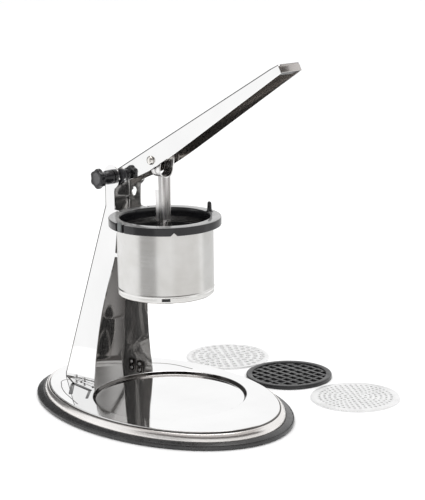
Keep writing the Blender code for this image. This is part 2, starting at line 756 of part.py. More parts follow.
def make_lever(axis):
    """Inverted channel: outline extruded to full width, hollowed from below."""
    outline = [lever_point(*point) for point in lever_side_outline()]
    body = plate("lever", [outline], 2 * LEVER_HALF, POLISHED, "XZ", 0, axis)
    start, end, depth = -20 * MM, LEVER_LENGTH + 20 * MM, -40 * MM
    ceiling = [(start, lever_top(start) - SHEET), (start, depth), (end, depth), (end, lever_top(end) - SHEET)]
    inside = outline_mesh(
        "lever_inside", [[lever_point(*p) for p in ceiling]], 2 * (LEVER_HALF - SHEET), "XZ", 0
    )
    combine(body, cutter("lever_inside", inside), "DIFFERENCE")
    bore = rod_mesh("lever_bore", PIVOT, SLEEVE_RADIUS + GAP, 60 * MM)
    combine(body, cutter("lever_bore", bore), "DIFFERENCE")
    pin_bore = rod_mesh("pin_bore", PIN, PIN_RADIUS + GAP, 60 * MM)
    combine(body, cutter("pin_bore", pin_bore), "DIFFERENCE")
    smooth(body, 25)


def make_lever_tip(axis):
    """Plastic plug that closes the channel's front end."""
    rear, end = LEVER_LENGTH - PLUG_LENGTH, LEVER_LENGTH - GAP
    low, high = 0.8 * MM - LEVER_END_DEPTH, lever_top(LEVER_LENGTH) - SHEET - GAP
    loop = [lever_point(*place) for place in ((rear, low), (end, low), (end, high), (rear, high + 0.1 * MM))]
    plate("lever_end_plug", [loop], 2 * (LEVER_HALF - SHEET - GAP), BLACK_PLASTIC, "XZ", 0, axis)


def make_pin(axis):
    """Rivet through the lever with a domed head on each side, and a spacer each side of the clevis."""
    half = LEVER_HALF + GAP
    dome = [(PIN_HEAD * cos(radians(a)), PIN_HEAD_HEIGHT * sin(radians(a))) for a in (90, 65, 40, 18, 0)]
    dome[0] = (0, PIN_HEAD_HEIGHT)
    profile = [(radius, half + height) for radius, height in dome]
    profile += [(PIN_RADIUS, half), (PIN_RADIUS, -half)]
    profile += [(radius, -half - height) for radius, height in reversed(dome)]
    turned("plunger_pin", profile, POLISHED, 20, closed=False, centre=PIN, along="Y", parent=axis)
    inner = CLEVIS_HALF + GAP
    outer = LEVER_HALF - SHEET - GAP
    spacer = washer_profile(SPACER_RADIUS, PIN_RADIUS + GAP, outer - inner)
    near = (PIN.x, -inner, PIN.z)
    far = (PIN.x, outer, PIN.z)
    turned("pin_spacer_near", spacer, NYLON, 20, centre=near, along="Y", parent=axis)
    turned("pin_spacer_far", spacer, NYLON, 20, centre=far, along="Y", parent=axis)


# Plunger


def clevis_rows():
    """Pairs of points along the strap: down the near ear, round below and up the far ear."""
    places = []  # (half depth, y, z)
    for turn in (78, 60, 42, 24, 6):
        depth, rise = CLEVIS_DEPTH_TOP * cos(radians(turn)), CLEVIS_TOP * sin(radians(turn))
        places.append((depth, -CLEVIS_HALF, PIN.z + rise))
    places.append((mix(CLEVIS_DEPTH_TOP, CLEVIS_DEPTH_LOW, 0.5), -CLEVIS_HALF, (PIN.z + CLEVIS_TURN) / 2))
    for y, z in arc((0, CLEVIS_TURN), CLEVIS_HALF, 180, 270, 5):
        places.append((CLEVIS_DEPTH_LOW, y, z))
    places += [(depth, -y, z) for depth, y, z in reversed(places[:-1])]
    return [[(CLEVIS_X - depth, y, z), (CLEVIS_X + depth, y, z)] for depth, y, z in places]


def make_stem(axis):
    """Folded channel, open to the front, under a strap bent up into the clevis's two ears."""
    made = sheet_object("plunger_stem", clevis_rows(), POLISHED, SHEET, 1, parent=axis)
    front, rear, inside = STEM_DEPTH / 2, -STEM_DEPTH / 2, STEM_HALF - SHEET
    near = [(rear + SHEET, -inside), (front, -inside), (front, -STEM_HALF), (rear, -STEM_HALF)]
    section = near + [(x, -y) for x, y in reversed(near)]
    middle = (STEM_TOP + STEM_BOTTOM) / 2
    channel = outline_mesh("stem_channel", [section], STEM_TOP - STEM_BOTTOM, "XY", middle)
    combine(made, cutter("stem_channel", channel), "UNION")
    bore = rod_mesh("clevis_bore", PIN, PIN_RADIUS + GAP, 30 * MM, 20)
    combine(made, cutter("clevis_bore", bore), "DIFFERENCE")
    smooth(made)


def make_stem_rib(axis):
    """Narrow strip welded behind the stem's lower half."""
    front = -STEM_DEPTH / 2 - GAP
    rear = front - RIB_DEPTH
    loop = [(front, STEM_BOTTOM), (front, RIB_TOP), (rear, RIB_TOP), (rear, STEM_BOTTOM)]
    plate("stem_rib", [loop], RIB_SHEET, POLISHED, "XZ", RIB_Y, axis)


def make_gusset(axis):
    """Two crossed plates that spread the stem's push over the plunger plate."""
    top = STEM_BOTTOM - GAP
    low = PLUNGER_FLOOR + PLUNGER_SHEET + GAP
    right = [(GUSSET_FOOT_HALF, low), (GUSSET_FOOT_HALF, low + 2 * MM), (GUSSET_TOP_HALF, top)]
    loop = right + [(-x, z) for x, z in reversed(right)]
    plates = []
    for turn in (GUSSET_TURN, GUSSET_TURN + 90):
        mesh = outline_mesh("gusset", [loop], GUSSET_SHEET, "XZ", 0)
        mesh.transform(Matrix.Rotation(radians(turn), 4, "Z"))
        plates.append(mesh)
    made = new_object("stem_gusset", plates[0], POLISHED, axis)
    combine(made, cutter("gusset_cross", plates[1]), "UNION")


def make_plunger_plate(axis):
    """Pressed pan with its rim turned up."""
    low, rim, sheet = PLUNGER_FLOOR, PLUNGER_RIM, PLUNGER_SHEET
    out = PLUNGER_RADIUS
    profile = [
        (0, low + sheet),
        (out - sheet - 2 * MM, low + sheet),
        (out - sheet, low + sheet + 2 * MM),
        (out - sheet, rim),
        (out, rim),
        (out, low + 2.5 * MM),
        (out - 0.8 * MM, low + 0.7 * MM),
        (out - 2.6 * MM, low),
        (0, low),
    ]
    centre = (PLUNGER_CENTRE, 0, 0)
    turned("plunger_plate", profile, BLACK_PLASTIC, closed=False, centre=centre, parent=axis)


# Strainer discs


def hole_rings(spacing, rings, radius, steps):
    """Round holes in rings of six more each time, round one in the middle."""
    loops = [circle((0, 0), radius, steps)]
    for ring in range(1, rings + 1):
        count = 6 * ring
        for i in range(count):
            turn = 2 * pi * (i + 0.5 * (ring % 2)) / count
            centre = (ring * spacing * cos(turn), ring * spacing * sin(turn))
            loops.append(circle(centre, radius, steps, turn * 180 / pi))
    return loops


def shift(loops, x, y):
    return [[(u + x, v + y) for u, v in loop] for loop in loops]


def make_disc(name, x, spacing, rings, hole, steps, axis):
    loops = [circle((0, 0), DISC_RADIUS, POT_STEPS)] + hole_rings(spacing, rings, hole, steps)
    plate(name, shift(loops, x, DISC_ROW_Y), DISC_SHEET, DISC_STEEL, "XY", DISC_SHEET / 2, axis)


def make_grid_disc(name, x, axis):
    """Black disc with rows of oblong openings, wider than they are deep."""
    half_x, half_y = (GRID_PITCH_X - GRID_RIB) / 2, (GRID_PITCH_Y - GRID_RIB) / 2
    inner = DISC_RADIUS - GRID_RIM
    loops = [circle((0, 0), DISC_RADIUS, POT_STEPS)]
    for row in range(-4, 5):
        for column in range(-4, 5):
            u, v = column * GRID_PITCH_X, row * GRID_PITCH_Y
            if hypot(abs(u) + half_x, abs(v) + half_y) > inner:
                continue
            low, high = (u - half_x, v - half_y), (u + half_x, v + half_y)
            loops.append([low, (high[0], low[1]), high, (low[0], high[1])])
    plate(name, shift(loops, x, DISC_ROW_Y), GRID_THICK, BLACK_PLASTIC, "XY", GRID_THICK / 2, axis)


def main():
    make_mat()
    make_base_plate()
    make_foot_bracket()
    make_foot_rivets()
    make_column()
    make_ring()
    make_ring_peg()
    make_pot()
    lever_axis = joint_empty("lever_axis", PIVOT)
    knob_axis = joint_empty("knob_axis", PIVOT)
    plunger_axis = joint_empty("plunger_axis", PIN, lever_axis)
    make_pivot_tubes()
    make_pivot(knob_axis)
    make_lever(lever_axis)
    make_lever_tip(lever_axis)
    make_pin(lever_axis)
    make_stem(plunger_axis)
    make_stem_rib(plunger_axis)
    make_gusset(plunger_axis)
    make_plunger_plate(plunger_axis)
    spots = [joint_empty(f"disc_spot_{i}", (x, DISC_ROW_Y, 0)) for i, x in enumerate(DISC_ROW_X)]
    make_disc("coarse_disc", DISC_ROW_X[0], 7.4 * MM, 5, 2.4 * MM, 6, spots[0])
    make_grid_disc("grid_disc", DISC_ROW_X[1], spots[1])
    make_disc("fine_disc", DISC_ROW_X[2], 5.1 * MM, 7, 1.5 * MM, 4, spots[2])


main()
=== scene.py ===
"""The looks of the lever ricer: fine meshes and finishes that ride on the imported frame, and the studio.

Lengths are in metres. +X is the front, the way the lever points, and +Z is up.
"""

import json
from math import atan2, cos, pi, radians, sin, sqrt

import bmesh
import bpy
from mathutils import Matrix, Vector


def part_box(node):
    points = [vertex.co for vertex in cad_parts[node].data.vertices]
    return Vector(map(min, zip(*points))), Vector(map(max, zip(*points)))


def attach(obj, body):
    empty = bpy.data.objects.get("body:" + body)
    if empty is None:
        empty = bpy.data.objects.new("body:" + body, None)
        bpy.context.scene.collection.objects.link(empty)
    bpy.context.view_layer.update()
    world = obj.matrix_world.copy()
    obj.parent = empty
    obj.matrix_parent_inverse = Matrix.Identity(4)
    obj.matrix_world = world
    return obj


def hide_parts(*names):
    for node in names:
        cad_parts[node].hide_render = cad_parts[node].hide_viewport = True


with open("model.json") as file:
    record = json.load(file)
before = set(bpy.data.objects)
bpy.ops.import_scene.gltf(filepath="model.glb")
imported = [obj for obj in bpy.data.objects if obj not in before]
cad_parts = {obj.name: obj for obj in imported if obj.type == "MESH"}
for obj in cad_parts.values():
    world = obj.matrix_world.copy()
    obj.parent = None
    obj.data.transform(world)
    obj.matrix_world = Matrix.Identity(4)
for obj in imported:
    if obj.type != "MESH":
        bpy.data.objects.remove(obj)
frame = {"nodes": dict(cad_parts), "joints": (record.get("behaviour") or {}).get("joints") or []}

MM, UM = 1e-3, 1e-6
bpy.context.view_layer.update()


# Places and sizes from the frame


def joint_place(name):
    return next(Vector(joint["pos_m"]) for joint in frame["joints"] if joint["name"] == name)


def middle_of(node):
    low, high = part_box(node)
    return (low + high) / 2


def half_size(node):
    low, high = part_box(node)
    return (high - low) / 2


PIVOT = joint_place("lever_hinge")
PIN = joint_place("plunger_swing")
SHEET = 1.2 * MM  # column and lever sheet
GAP = 0.3 * MM

BASE_X = middle_of("base_mat").x
MAT_A, MAT_B = half_size("base_mat").xy
PLATE_A, PLATE_B = half_size("base_plate").xy
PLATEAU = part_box("base_plate")[1].z
RIM_NARROWING = 5 / 7.5  # the rim is narrower at the oval's long sides than at its ends
RECESS_X = 3 * MM
RECESS_RADIUS = 75 * MM
RECESS_DEPTH = 3.2 * MM
MAT_FLOOR = 3 * MM

RING_RADIUS, RING_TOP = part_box("pot_ring")[1].x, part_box("pot_ring")[1].z
RING_SKIRT = 1.2 * MM  # how far the inner skirt hangs below the outside
RING_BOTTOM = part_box("pot_ring")[0].z + RING_SKIRT
RING_BORE = 43 * MM
POT_RIM, POT_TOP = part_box("pot")[1].x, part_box("pot")[1].z
POT_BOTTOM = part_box("pot")[0].z
POT_RADIUS = POT_RIM - 2.2 * MM  # the rolled rim stands out by the rest
POT_WALL = 1 * MM
SEAM_ANGLE, WINDOW_ANGLE, CLIP_ANGLE = -31, -40, -92  # in degrees round the pot's axis, from +X

COLUMN_LOW, COLUMN_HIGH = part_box("column")
FOOT_HALF, FOOT_BACK = COLUMN_HIGH.y, COLUMN_LOW.x
NECK = 192 * MM  # height where the column's taper ends
NECK_HALF, NECK_BACK = 16.5 * MM, -75 * MM
FOOT_BOW, NECK_BOW = 17.5 * MM, 1.5 * MM  # how far the web bulges backwards
BEND = 5 * MM  # outside radius of the fold between flange and web
NECK_FRONT, TAB_FRONT, NIB_FRONT = -56 * MM, -46 * MM, -46.6 * MM
# The front edge's place at each height below the ring, apart from the nib, in millimetres.
BELLY = [(14, -69), (46, -68.8), (85, -65), (115, -58.6), (138, -52), (147, -50.4), (184, -50.4)]
NIB_LOW, NIB_HIGH = 145.5 * MM, 149 * MM
WEB_TOP = 214.5 * MM
EAR_START = 208 * MM  # height where the flanges turn into round ears
FLANGE_STEPS, BEND_STEPS, WEB_STEPS = 5, 8, 9
EAR_RADIUS = COLUMN_HIGH.z - PIVOT.z

LEVER_TILT = radians(29)
LEVER_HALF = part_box("lever")[1].y
LEVER_LENGTH = 262 * MM
LEVER_REAR = 10.5 * MM  # radius of its rear end
LEVER_REAR_TOP, LEVER_END_TOP = 5.5 * MM, 1.6 * MM  # its top's height over the line from pivot to tip
# How far its lower edge lies under that line at each distance from the pivot, in millimetres.
LEVER_UNDER = [(-3, 10.3), (16, 10.8), (30, 12.6), (48, 14.3), (76, 14.8), (104, 14.1)]
LEVER_UNDER += [(180, 10.8), (LEVER_LENGTH / MM, 7.2)]

UPRIGHT = Matrix.Rotation(pi / 2, 4, "X")  # stands a flat shape up, so that its +Z faces -Y


# Finishes


class Finish:
    """A Principled material, and the node steps that the finishes below share."""

    def __init__(self, name, **constants):
        self.material = bpy.data.materials.new(name)
        self.material.use_nodes = True
        self.nodes = self.material.node_tree.nodes
        self.links = self.material.node_tree.links
        self.shader = self.nodes["Principled BSDF"]
        for socket, value in constants.items():
            self.shader.inputs[socket.replace("_", " ")].default_value = value
        self.place = self.nodes.new("ShaderNodeTexCoord").outputs["Object"]

    def noise(self, scale, detail=3, stretch=(1, 1, 1)):
        """Noise over the surface; scale is in cells per metre, and stretch makes streaks."""
        mapping = self.nodes.new("ShaderNodeMapping")
        mapping.inputs["Scale"].default_value = stretch
        self.links.new(self.place, mapping.inputs["Vector"])
        texture = self.nodes.new("ShaderNodeTexNoise")
        texture.inputs["Scale"].default_value = scale
        texture.inputs["Detail"].default_value = detail
        self.links.new(mapping.outputs["Vector"], texture.inputs["Vector"])
        return texture.outputs[0]

    def spread(self, source, low, high, start=0.3, end=0.7):
        """A number from low to high as the source runs from start to end."""
        step = self.nodes.new("ShaderNodeMapRange")
        for socket, value in (("From Min", start), ("From Max", end), ("To Min", low), ("To Max", high)):
            step.inputs[socket].default_value = value
        self.links.new(source, step.inputs["Value"])
        return step.outputs["Result"]

    def tint(self, source, dark, light, start=0.3, end=0.7):
        """A colour from dark to light as the source runs from start to end."""
        ramp = self.nodes.new("ShaderNodeValToRGB")
        for element, place, colour in zip(ramp.color_ramp.elements, (start, end), (dark, light)):
            element.position = place
            element.color = (*colour, 1)
        self.links.new(source, ramp.inputs["Fac"])
        self.links.new(ramp.outputs["Color"], self.shader.inputs["Base Color"])

    def rough(self, source, low, high, start=0.3, end=0.7):
        """Roughness from low to high as the source runs from start to end."""
        self.links.new(self.spread(source, low, high, start, end), self.shader.inputs["Roughness"])

    def bump(self, source, depth, under=None):
        """Raises the surface by the source times depth; under is a bump that this one lies on."""
        step = self.nodes.new("ShaderNodeBump")
        step.inputs["Distance"].default_value = depth
        self.links.new(source, step.inputs["Height"])
        if under:
            self.links.new(under, step.inputs["Normal"])
        self.links.new(step.outputs["Normal"], self.shader.inputs["Normal"])
        return step.outputs["Normal"]


def polished_steel(name, dark, light, gloss, sheen, metallic=1.0, grain=0.6):
    """Mirror steel: a faint wave from pressing, and hairlines of the polishing wheel, grain um deep."""
    made = Finish(name, Metallic=metallic)
    cloud = made.noise(18, 4)
    hairlines = made.noise(260, 6, (1, 9, 9))
    made.tint(cloud, dark, light)
    made.rough(hairlines, gloss, sheen, 0.35, 0.75)
    wave = made.bump(made.noise(22, 1), 0.03 * MM)
    made.bump(hairlines, grain * UM, wave)
    return made.material


def brushed_steel():
    """The pot's turned finish: fine lines round the wall."""
    made = Finish("pot_brushed_steel", Metallic=1.0, Anisotropic=0.55)
    lines = made.noise(30, 5, (1, 1, 90))
    stains = made.noise(35, 4)
    made.tint(stains, (0.66, 0.65, 0.63), (0.76, 0.755, 0.745))
    made.rough(lines, 0.13, 0.26)
    made.bump(lines, 0.004 * MM)
    tangent = made.nodes.new("ShaderNodeTangent")
    tangent.direction_type = "RADIAL"
    tangent.axis = "Z"
    made.links.new(tangent.outputs["Tangent"], made.shader.inputs["Tangent"])
    return made.material


def plain_steel():
    """Zinc-bright fasteners with fine pitting."""
    made = Finish("fastener_steel", Metallic=1.0)
    made.tint(made.noise(160, 4), (0.5, 0.5, 0.5), (0.68, 0.68, 0.67))
    made.rough(made.noise(420, 4), 0.2, 0.42)
    made.bump(made.noise(1400, 2), 0.01 * MM)
    return made.material


def disc_steel():
    """Satin stainless of the strainer discs."""
    made = Finish("disc_satin_steel", Metallic=1.0)
    made.tint(made.noise(60, 3), (0.8, 0.8, 0.8), (0.9, 0.9, 0.9))
    made.rough(made.noise(500, 4, (1, 8, 1)), 0.22, 0.4)
    made.bump(made.noise(900, 3, (1, 8, 1)), 0.004 * MM)
    return made.material


def moulded_plastic(name, dark, light, gloss, dull, grain, ior=1.5):
    """Moulded black plastic: semi-gloss with faint flow marks and a grain of that depth in um."""
    made = Finish(name, IOR=ior)
    made.tint(made.noise(55, 3), dark, light)
    made.rough(made.noise(140, 4), gloss, dull)
    flow = made.bump(made.noise(90, 2), 0.02 * MM)
    made.bump(made.noise(2600, 2), grain * UM, flow)
    return made.material


def rubber():
    """Moulded rubber with a matt grain and a little bloom."""
    made = Finish("mat_rubber", IOR=1.6)
    made.tint(made.noise(70, 5), (0.012, 0.012, 0.013), (0.026, 0.026, 0.027))
    made.rough(made.noise(220, 3), 0.22, 0.36)
    made.bump(made.noise(1500, 3), 0.02 * MM)
    return made.material


def nylon():
    """Milky washer plastic."""
    made = Finish("washer_nylon", IOR=1.53)
    made.tint(made.noise(120, 3), (0.64, 0.63, 0.58), (0.76, 0.75, 0.71))
    made.rough(made.noise(300, 3), 0.4, 0.55)
    made.bump(made.noise(1200, 2), 0.01 * MM)
    return made.material


def streaked_steel():
    """Drawn strip with streaks along its length, laid at random; their strong bright and dull tones are
    painted reflection stripes.
    """
    made = Finish("stem_steel", Metallic=1.0)
    streaks = made.noise(300, 2, (1, 1, 0.04))
    made.tint(streaks, (0.45, 0.44, 0.435), (0.95, 0.94, 0.935), 0.4, 0.54)
    made.rough(streaks, 0.2, 0.34)
    made.bump(streaks, 0.02 * MM)
    return made.material


MIRROR = polished_steel("mirror_steel", (0.86, 0.86, 0.86), (0.91, 0.91, 0.91), 0.02, 0.06)
# Darker copy of the mirror steel for the insides of the column: painted shade.
INSIDE_SHADE_STEEL = polished_steel("inside_painted_shade_steel", (0.4, 0.395, 0.39), (0.5, 0.49, 0.48), 0.04, 0.1, 0.84)
# Dark copy of the mirror steel: painted shade in the plate's groove and recess wall, on the column's fold and
# foot bracket, and along the plateau's beads and fold line; on the foot's joint line and spot welds it is
# their own dark.
SHADE_AND_JOINT_STEEL = polished_steel("painted_shade_and_joint_steel", (0.1, 0.095, 0.09), (0.17, 0.16, 0.155), 0.1, 0.2)
# Copy of the mirror steel for the far flange's inside, less dark than the near one's: painted shade.
INSIDE_SHADE_STEEL_FAR = polished_steel("far_inside_painted_shade_steel", (0.66, 0.655, 0.65), (0.76, 0.75, 0.74), 0.04, 0.08, 0.85)
# Darker copy of the mirror steel for the inside of the lever's channel: painted shade.
LEVER_INSIDE_SHADE_STEEL = polished_steel(
    "lever_inside_painted_shade_steel", (0.3, 0.28, 0.265), (0.42, 0.4, 0.385), 0.12, 0.15, 0.92, 0.1)
# Dimmer copy of the mirror steel for the lever's nose and the pot's bottom edge: painted shade.
DIM_SHADE_STEEL = polished_steel("dim_painted_shade_steel", (0.44, 0.415, 0.4), (0.54, 0.515, 0.5), 0.2, 0.3)
RIM_STEEL = polished_steel("rim_steel", (0.8, 0.775, 0.755), (0.88, 0.86, 0.845), 0.2, 0.3)
PIN_STEEL = polished_steel("pin_steel", (0.82, 0.795, 0.755), (0.92, 0.9, 0.865), 0.22, 0.36)
STEM_STEEL = streaked_steel()
BRUSHED = brushed_steel()
FASTENER = plain_steel()
DISC_STEEL = disc_steel()
PLASTIC = moulded_plastic("black_plastic", (0.01, 0.01, 0.011), (0.018, 0.018, 0.02), 0.08, 0.18, 2)
# Lighter grey plastic for the ring's top face: a painted sheen on the black ring.
RING_TOP_SHEEN = moulded_plastic("ring_top_painted_sheen_plastic", (0.16, 0.16, 0.16), (0.24, 0.24, 0.24), 0.08, 0.2, 3, 1.9)
# Lighter grey plastic, used on the ring clip.
GREY_PLASTIC = moulded_plastic("grey_plastic", (0.09, 0.1, 0.1), (0.16, 0.17, 0.17), 0.2, 0.35, 4)
# Dark plastic for the near pivot washer, and for the patch on the lever that is a painted reflection.
DARK_PLASTIC = moulded_plastic("dark_plastic", (0.02, 0.02, 0.022), (0.034, 0.034, 0.037), 0.2, 0.34, 4, 1.6)
KNOB_FACE = moulded_plastic("knob_face_plastic", (0.05, 0.05, 0.052), (0.085, 0.085, 0.088), 0.2, 0.34, 4)
GRID_PLASTIC = moulded_plastic("grid_plastic", (0.006, 0.006, 0.007), (0.014, 0.014, 0.015), 0.25, 0.4, 6)
RUBBER = rubber()
NYLON = nylon()


# Shape helpers


def mix(low, high, share):
    return low + (high - low) * share


def ease(share):
    """0 below 0, 1 above 1, and a smooth step between them."""
    share = min(max(share, 0.0), 1.0)
    return share * share * (3 - 2 * share)


def smooth_through(points, x):
    """The height at x of a smooth curve through points."""
    for i in range(len(points) - 1):
        (x0, y0), (x1, y1) = points[i], points[i + 1]
        if x <= x1 or i == len(points) - 2:
            break
    before = points[max(i - 1, 0)]
    after = points[min(i + 2, len(points) - 1)]
    slope0 = (y1 - before[1]) / (x1 - before[0])
    slope1 = (after[1] - y0) / (after[0] - x0)
    span = x1 - x0
    t = (x - x0) / span
    return (
        (2 * t**3 - 3 * t**2 + 1) * y0
        + (t**3 - 2 * t**2 + t) * span * slope0
        + (3 * t**2 - 2 * t**3) * y1
        + (t**3 - t**2) * span * slope1
    )


def at(x, y, z):
    """A move by x, y and z."""
    return Matrix.Translation((x, y, z))


def about_z(angle):
    """A turn about Z by an angle in degrees."""
    return Matrix.Rotation(radians(angle), 4, "Z")


def ellipse(centre_x, a, b, height, steps=200):
    turns = [2 * pi * i / steps for i in range(steps)]
    return [(centre_x + a * cos(turn), b * sin(turn), height) for turn in turns]


def circle(u, v, radius, steps):
    turns = [2 * pi * i / steps for i in range(steps)]
    return [(u + radius * cos(turn), v + radius * sin(turn)) for turn in turns]


def slot_outline(start, end, radius, steps):
    """Points round a slot whose round ends are centred on start and end."""
    along = end - start
    lean = atan2(along.y, along.x)
    loop = []
    for middle, first in ((end, lean - pi / 2), (start, lean + pi / 2)):
        turns = [first + pi * i / steps for i in range(steps + 1)]
        loop += [(middle.x + radius * cos(turn), middle.y + radius * sin(turn)) for turn in turns]
    return loop


def soften(outline, steps=4):
    """An outline of (u, v) points, where a third number in a point rounds its corner."""
    points = []
    for i, (u, v, *radius) in enumerate(outline):
        corner = Vector((u, v))
        if not radius:
            points.append(corner)
            continue
        ends = []
        for j in (i - 1, (i + 1) % len(outline)):
            reach = Vector(outline[j][:2]) - corner
            ends.append(corner + reach * min(radius[0] / reach.length, 0.48))
        for k in range(steps + 1):
            t = k / steps
            points.append(ends[0] * (1 - t) ** 2 + corner * (2 * t * (1 - t)) + ends[1] * t**2)
    return points


def in_scene(name, data):
    """A new object, linked to the scene."""
    made = bpy.data.objects.new(name, data)
    bpy.context.scene.collection.objects.link(made)
    return made


def mesh_of(cage, name):
    """The cage as a mesh; the cage is freed."""
    mesh = bpy.data.meshes.new(name)
    cage.to_mesh(mesh)
    cage.free()
    return mesh


def evaluated_mesh(obj):
    """A new mesh of the object with its modifiers."""
    bpy.context.view_layer.update()
    graph = bpy.context.evaluated_depsgraph_get()
    return bpy.data.meshes.new_from_object(obj.evaluated_get(graph))


def loft(name, rows, wrap=True, cyclic=False, skip=None, cap=False):
    """Faces between rows of points. wrap joins each row's ends, cyclic joins the last row to the
    first, a row of one point is a pole, and cap closes the last row."""
    cage = bmesh.new()
    grid = [[cage.verts.new(point) for point in row] for row in rows]
    count = max(len(row) for row in grid)
    following = grid[1:] + (grid[:1] if cyclic else [])
    for j, (lower, upper) in enumerate(zip(grid, following)):
        for i in range(count if wrap else count - 1):
            if skip and skip(j, i):
                continue
            k = (i + 1) % count
            corners = [lower[n % len(lower)] for n in (i, k)] + [upper[n % len(upper)] for n in (k, i)]
            face = list(dict.fromkeys(corners))
            if len(face) > 2:
                cage.faces.new(face)
    if cap:
        cage.faces.new(grid[-1])
    bmesh.ops.delete(cage, geom=[vert for vert in cage.verts if not vert.link_faces], context="VERTS")
    bmesh.ops.recalc_face_normals(cage, faces=cage.faces)
    return mesh_of(cage, name)


def lathe(name, outline, steps=160, extra=(), open_outline=False):
    """An outline of (radius, height) points turned about Z; extra adds turns, in degrees."""
    turns = sorted([360 * i / steps for i in range(steps)] + [angle % 360 for angle in extra])
    rows = []
    for radius, height in outline:
        if radius < 0.01 * MM:
            rows.append([(0, 0, height)])
        else:
            rows.append([(radius * cos(radians(t)), radius * sin(radians(t)), height) for t in turns])
    return loft(name, rows, cyclic=not open_outline)


def shaded(mesh, angle=38):
    """Shades smooth, apart from edges sharper than the angle in degrees."""
    mesh.shade_smooth()
    mesh.set_sharp_from_angle(angle=radians(angle))


def piece(name, mesh, looks, body, nodes=(), angle=38):
    """A new visible piece, which rides on a body and may stand for CAD nodes."""
    made = in_scene(name, mesh)
    if made.type == "MESH":
        shaded(mesh, angle)
    for look in looks:
        mesh.materials.append(look)
    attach(made, body)
    if nodes:
        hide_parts(*nodes)
    return made


def box_mesh(name, size, place):
    cage = bmesh.new()
    bmesh.ops.create_cube(cage, size=1, matrix=place @ Matrix.Diagonal((*size, 1)))
    return mesh_of(cage, name)


def rod_mesh(name, place, radius, length):
    """A cylinder along Y."""
    cage = bmesh.new()
    turn = Matrix.Translation(place) @ UPRIGHT
    bmesh.ops.create_cone(
        cage, cap_ends=True, segments=40, radius1=radius, radius2=radius, depth=length, matrix=turn
    )
    return mesh_of(cage, name)


def cut(obj, meshes):
    """Applies the object's modifiers, and then cuts the meshes out of it."""
    tools = [in_scene(mesh.name, mesh) for mesh in meshes]
    for tool in tools:
        boolean = obj.modifiers.new("cut", "BOOLEAN")
        boolean.operation = "DIFFERENCE"
        boolean.object = tool
    mesh = evaluated_mesh(obj)
    obj.modifiers.clear()
    uncut = obj.data
    obj.data = mesh
    bpy.data.meshes.remove(uncut)
    shaded(mesh)
    for tool in tools:
        bpy.data.objects.remove(tool, do_unlink=True)


def bevelled(obj, width, angle=40):
    bevel = obj.modifiers.new("edges", "BEVEL")
    bevel.width = width
    bevel.segments = 2
    bevel.limit_method = "ANGLE"
    bevel.angle_limit = radians(angle)
    bevel.harden_normals = True


def thickened(obj):
    """Gives an open section its sheet thickness, inwards. The inside takes the next material slot."""
    near = next(face for face in obj.data.polygons if abs(face.normal.y) > 0.9 and face.center.y < 0)
    solid = obj.modifiers.new("thickness", "SOLIDIFY")
    solid.thickness = SHEET
    solid.offset = 1 if near.normal.y > 0 else -1
    solid.material_offset = 1


def flat_sheet(name, loops, thickness, edge, height):
    """A flat plate with holes and rounded edges, from closed loops; it stands on height."""
    curve = bpy.data.curves.new(name, "CURVE")
    curve.dimensions = "2D"
    curve.fill_mode = "BOTH"
    curve.extrude = thickness / 2 - edge
    curve.bevel_depth = edge
    curve.bevel_resolution = 1
    curve.offset = -edge
    for loop in loops:
        spline = curve.splines.new("POLY")
        spline.points.add(len(loop) - 1)
        for point, (u, v) in zip(spline.points, loop):
            point.co = (u, v, 0, 1)
        spline.use_cyclic_u = True
    guide = in_scene(name, curve)
    mesh = evaluated_mesh(guide)
    bpy.data.objects.remove(guide, do_unlink=True)
    cage = bmesh.new()
    cage.from_mesh(mesh)
    bmesh.ops.remove_doubles(cage, verts=cage.verts, dist=0.01 * MM)
    bmesh.ops.recalc_face_normals(cage, faces=cage.faces)
    bmesh.ops.translate(cage, verts=cage.verts, vec=(0, 0, height + thickness / 2))
    cage.to_mesh(mesh)
    cage.free()
    return mesh


# Base


def make_mat():
    """Rubber tray: an upright edge, a fine groove, and a top face that rises to the steel plate."""
    lip_inset = MAT_A - PLATE_A - GAP
    outline = soften([
        (1.6 * MM, 0, 0.8 * MM),
        (0, 1 * MM, 0.8 * MM),
        (0.1 * MM, 3.7 * MM, 0.5 * MM),
        (0.9 * MM, 3.9 * MM, 0.3 * MM),
        (1.2 * MM, 3.2 * MM, 0.3 * MM),
        (1.6 * MM, 4.3 * MM, 0.4 * MM),
        (lip_inset - 1.2 * MM, 6.1 * MM, 0.8 * MM),
        (lip_inset, 5.4 * MM, 0.5 * MM),
        (lip_inset, MAT_FLOOR),
    ])
    rows = [[(BASE_X, 0, 0)]]
    rows += [ellipse(BASE_X, MAT_A - inset, MAT_B - inset, height) for inset, height in outline[1:]]
    rows += [[(BASE_X, 0, MAT_FLOOR)]]
    piece("rubber_mat", loft("rubber_mat", rows), [RUBBER], "stand", ["base_mat"])


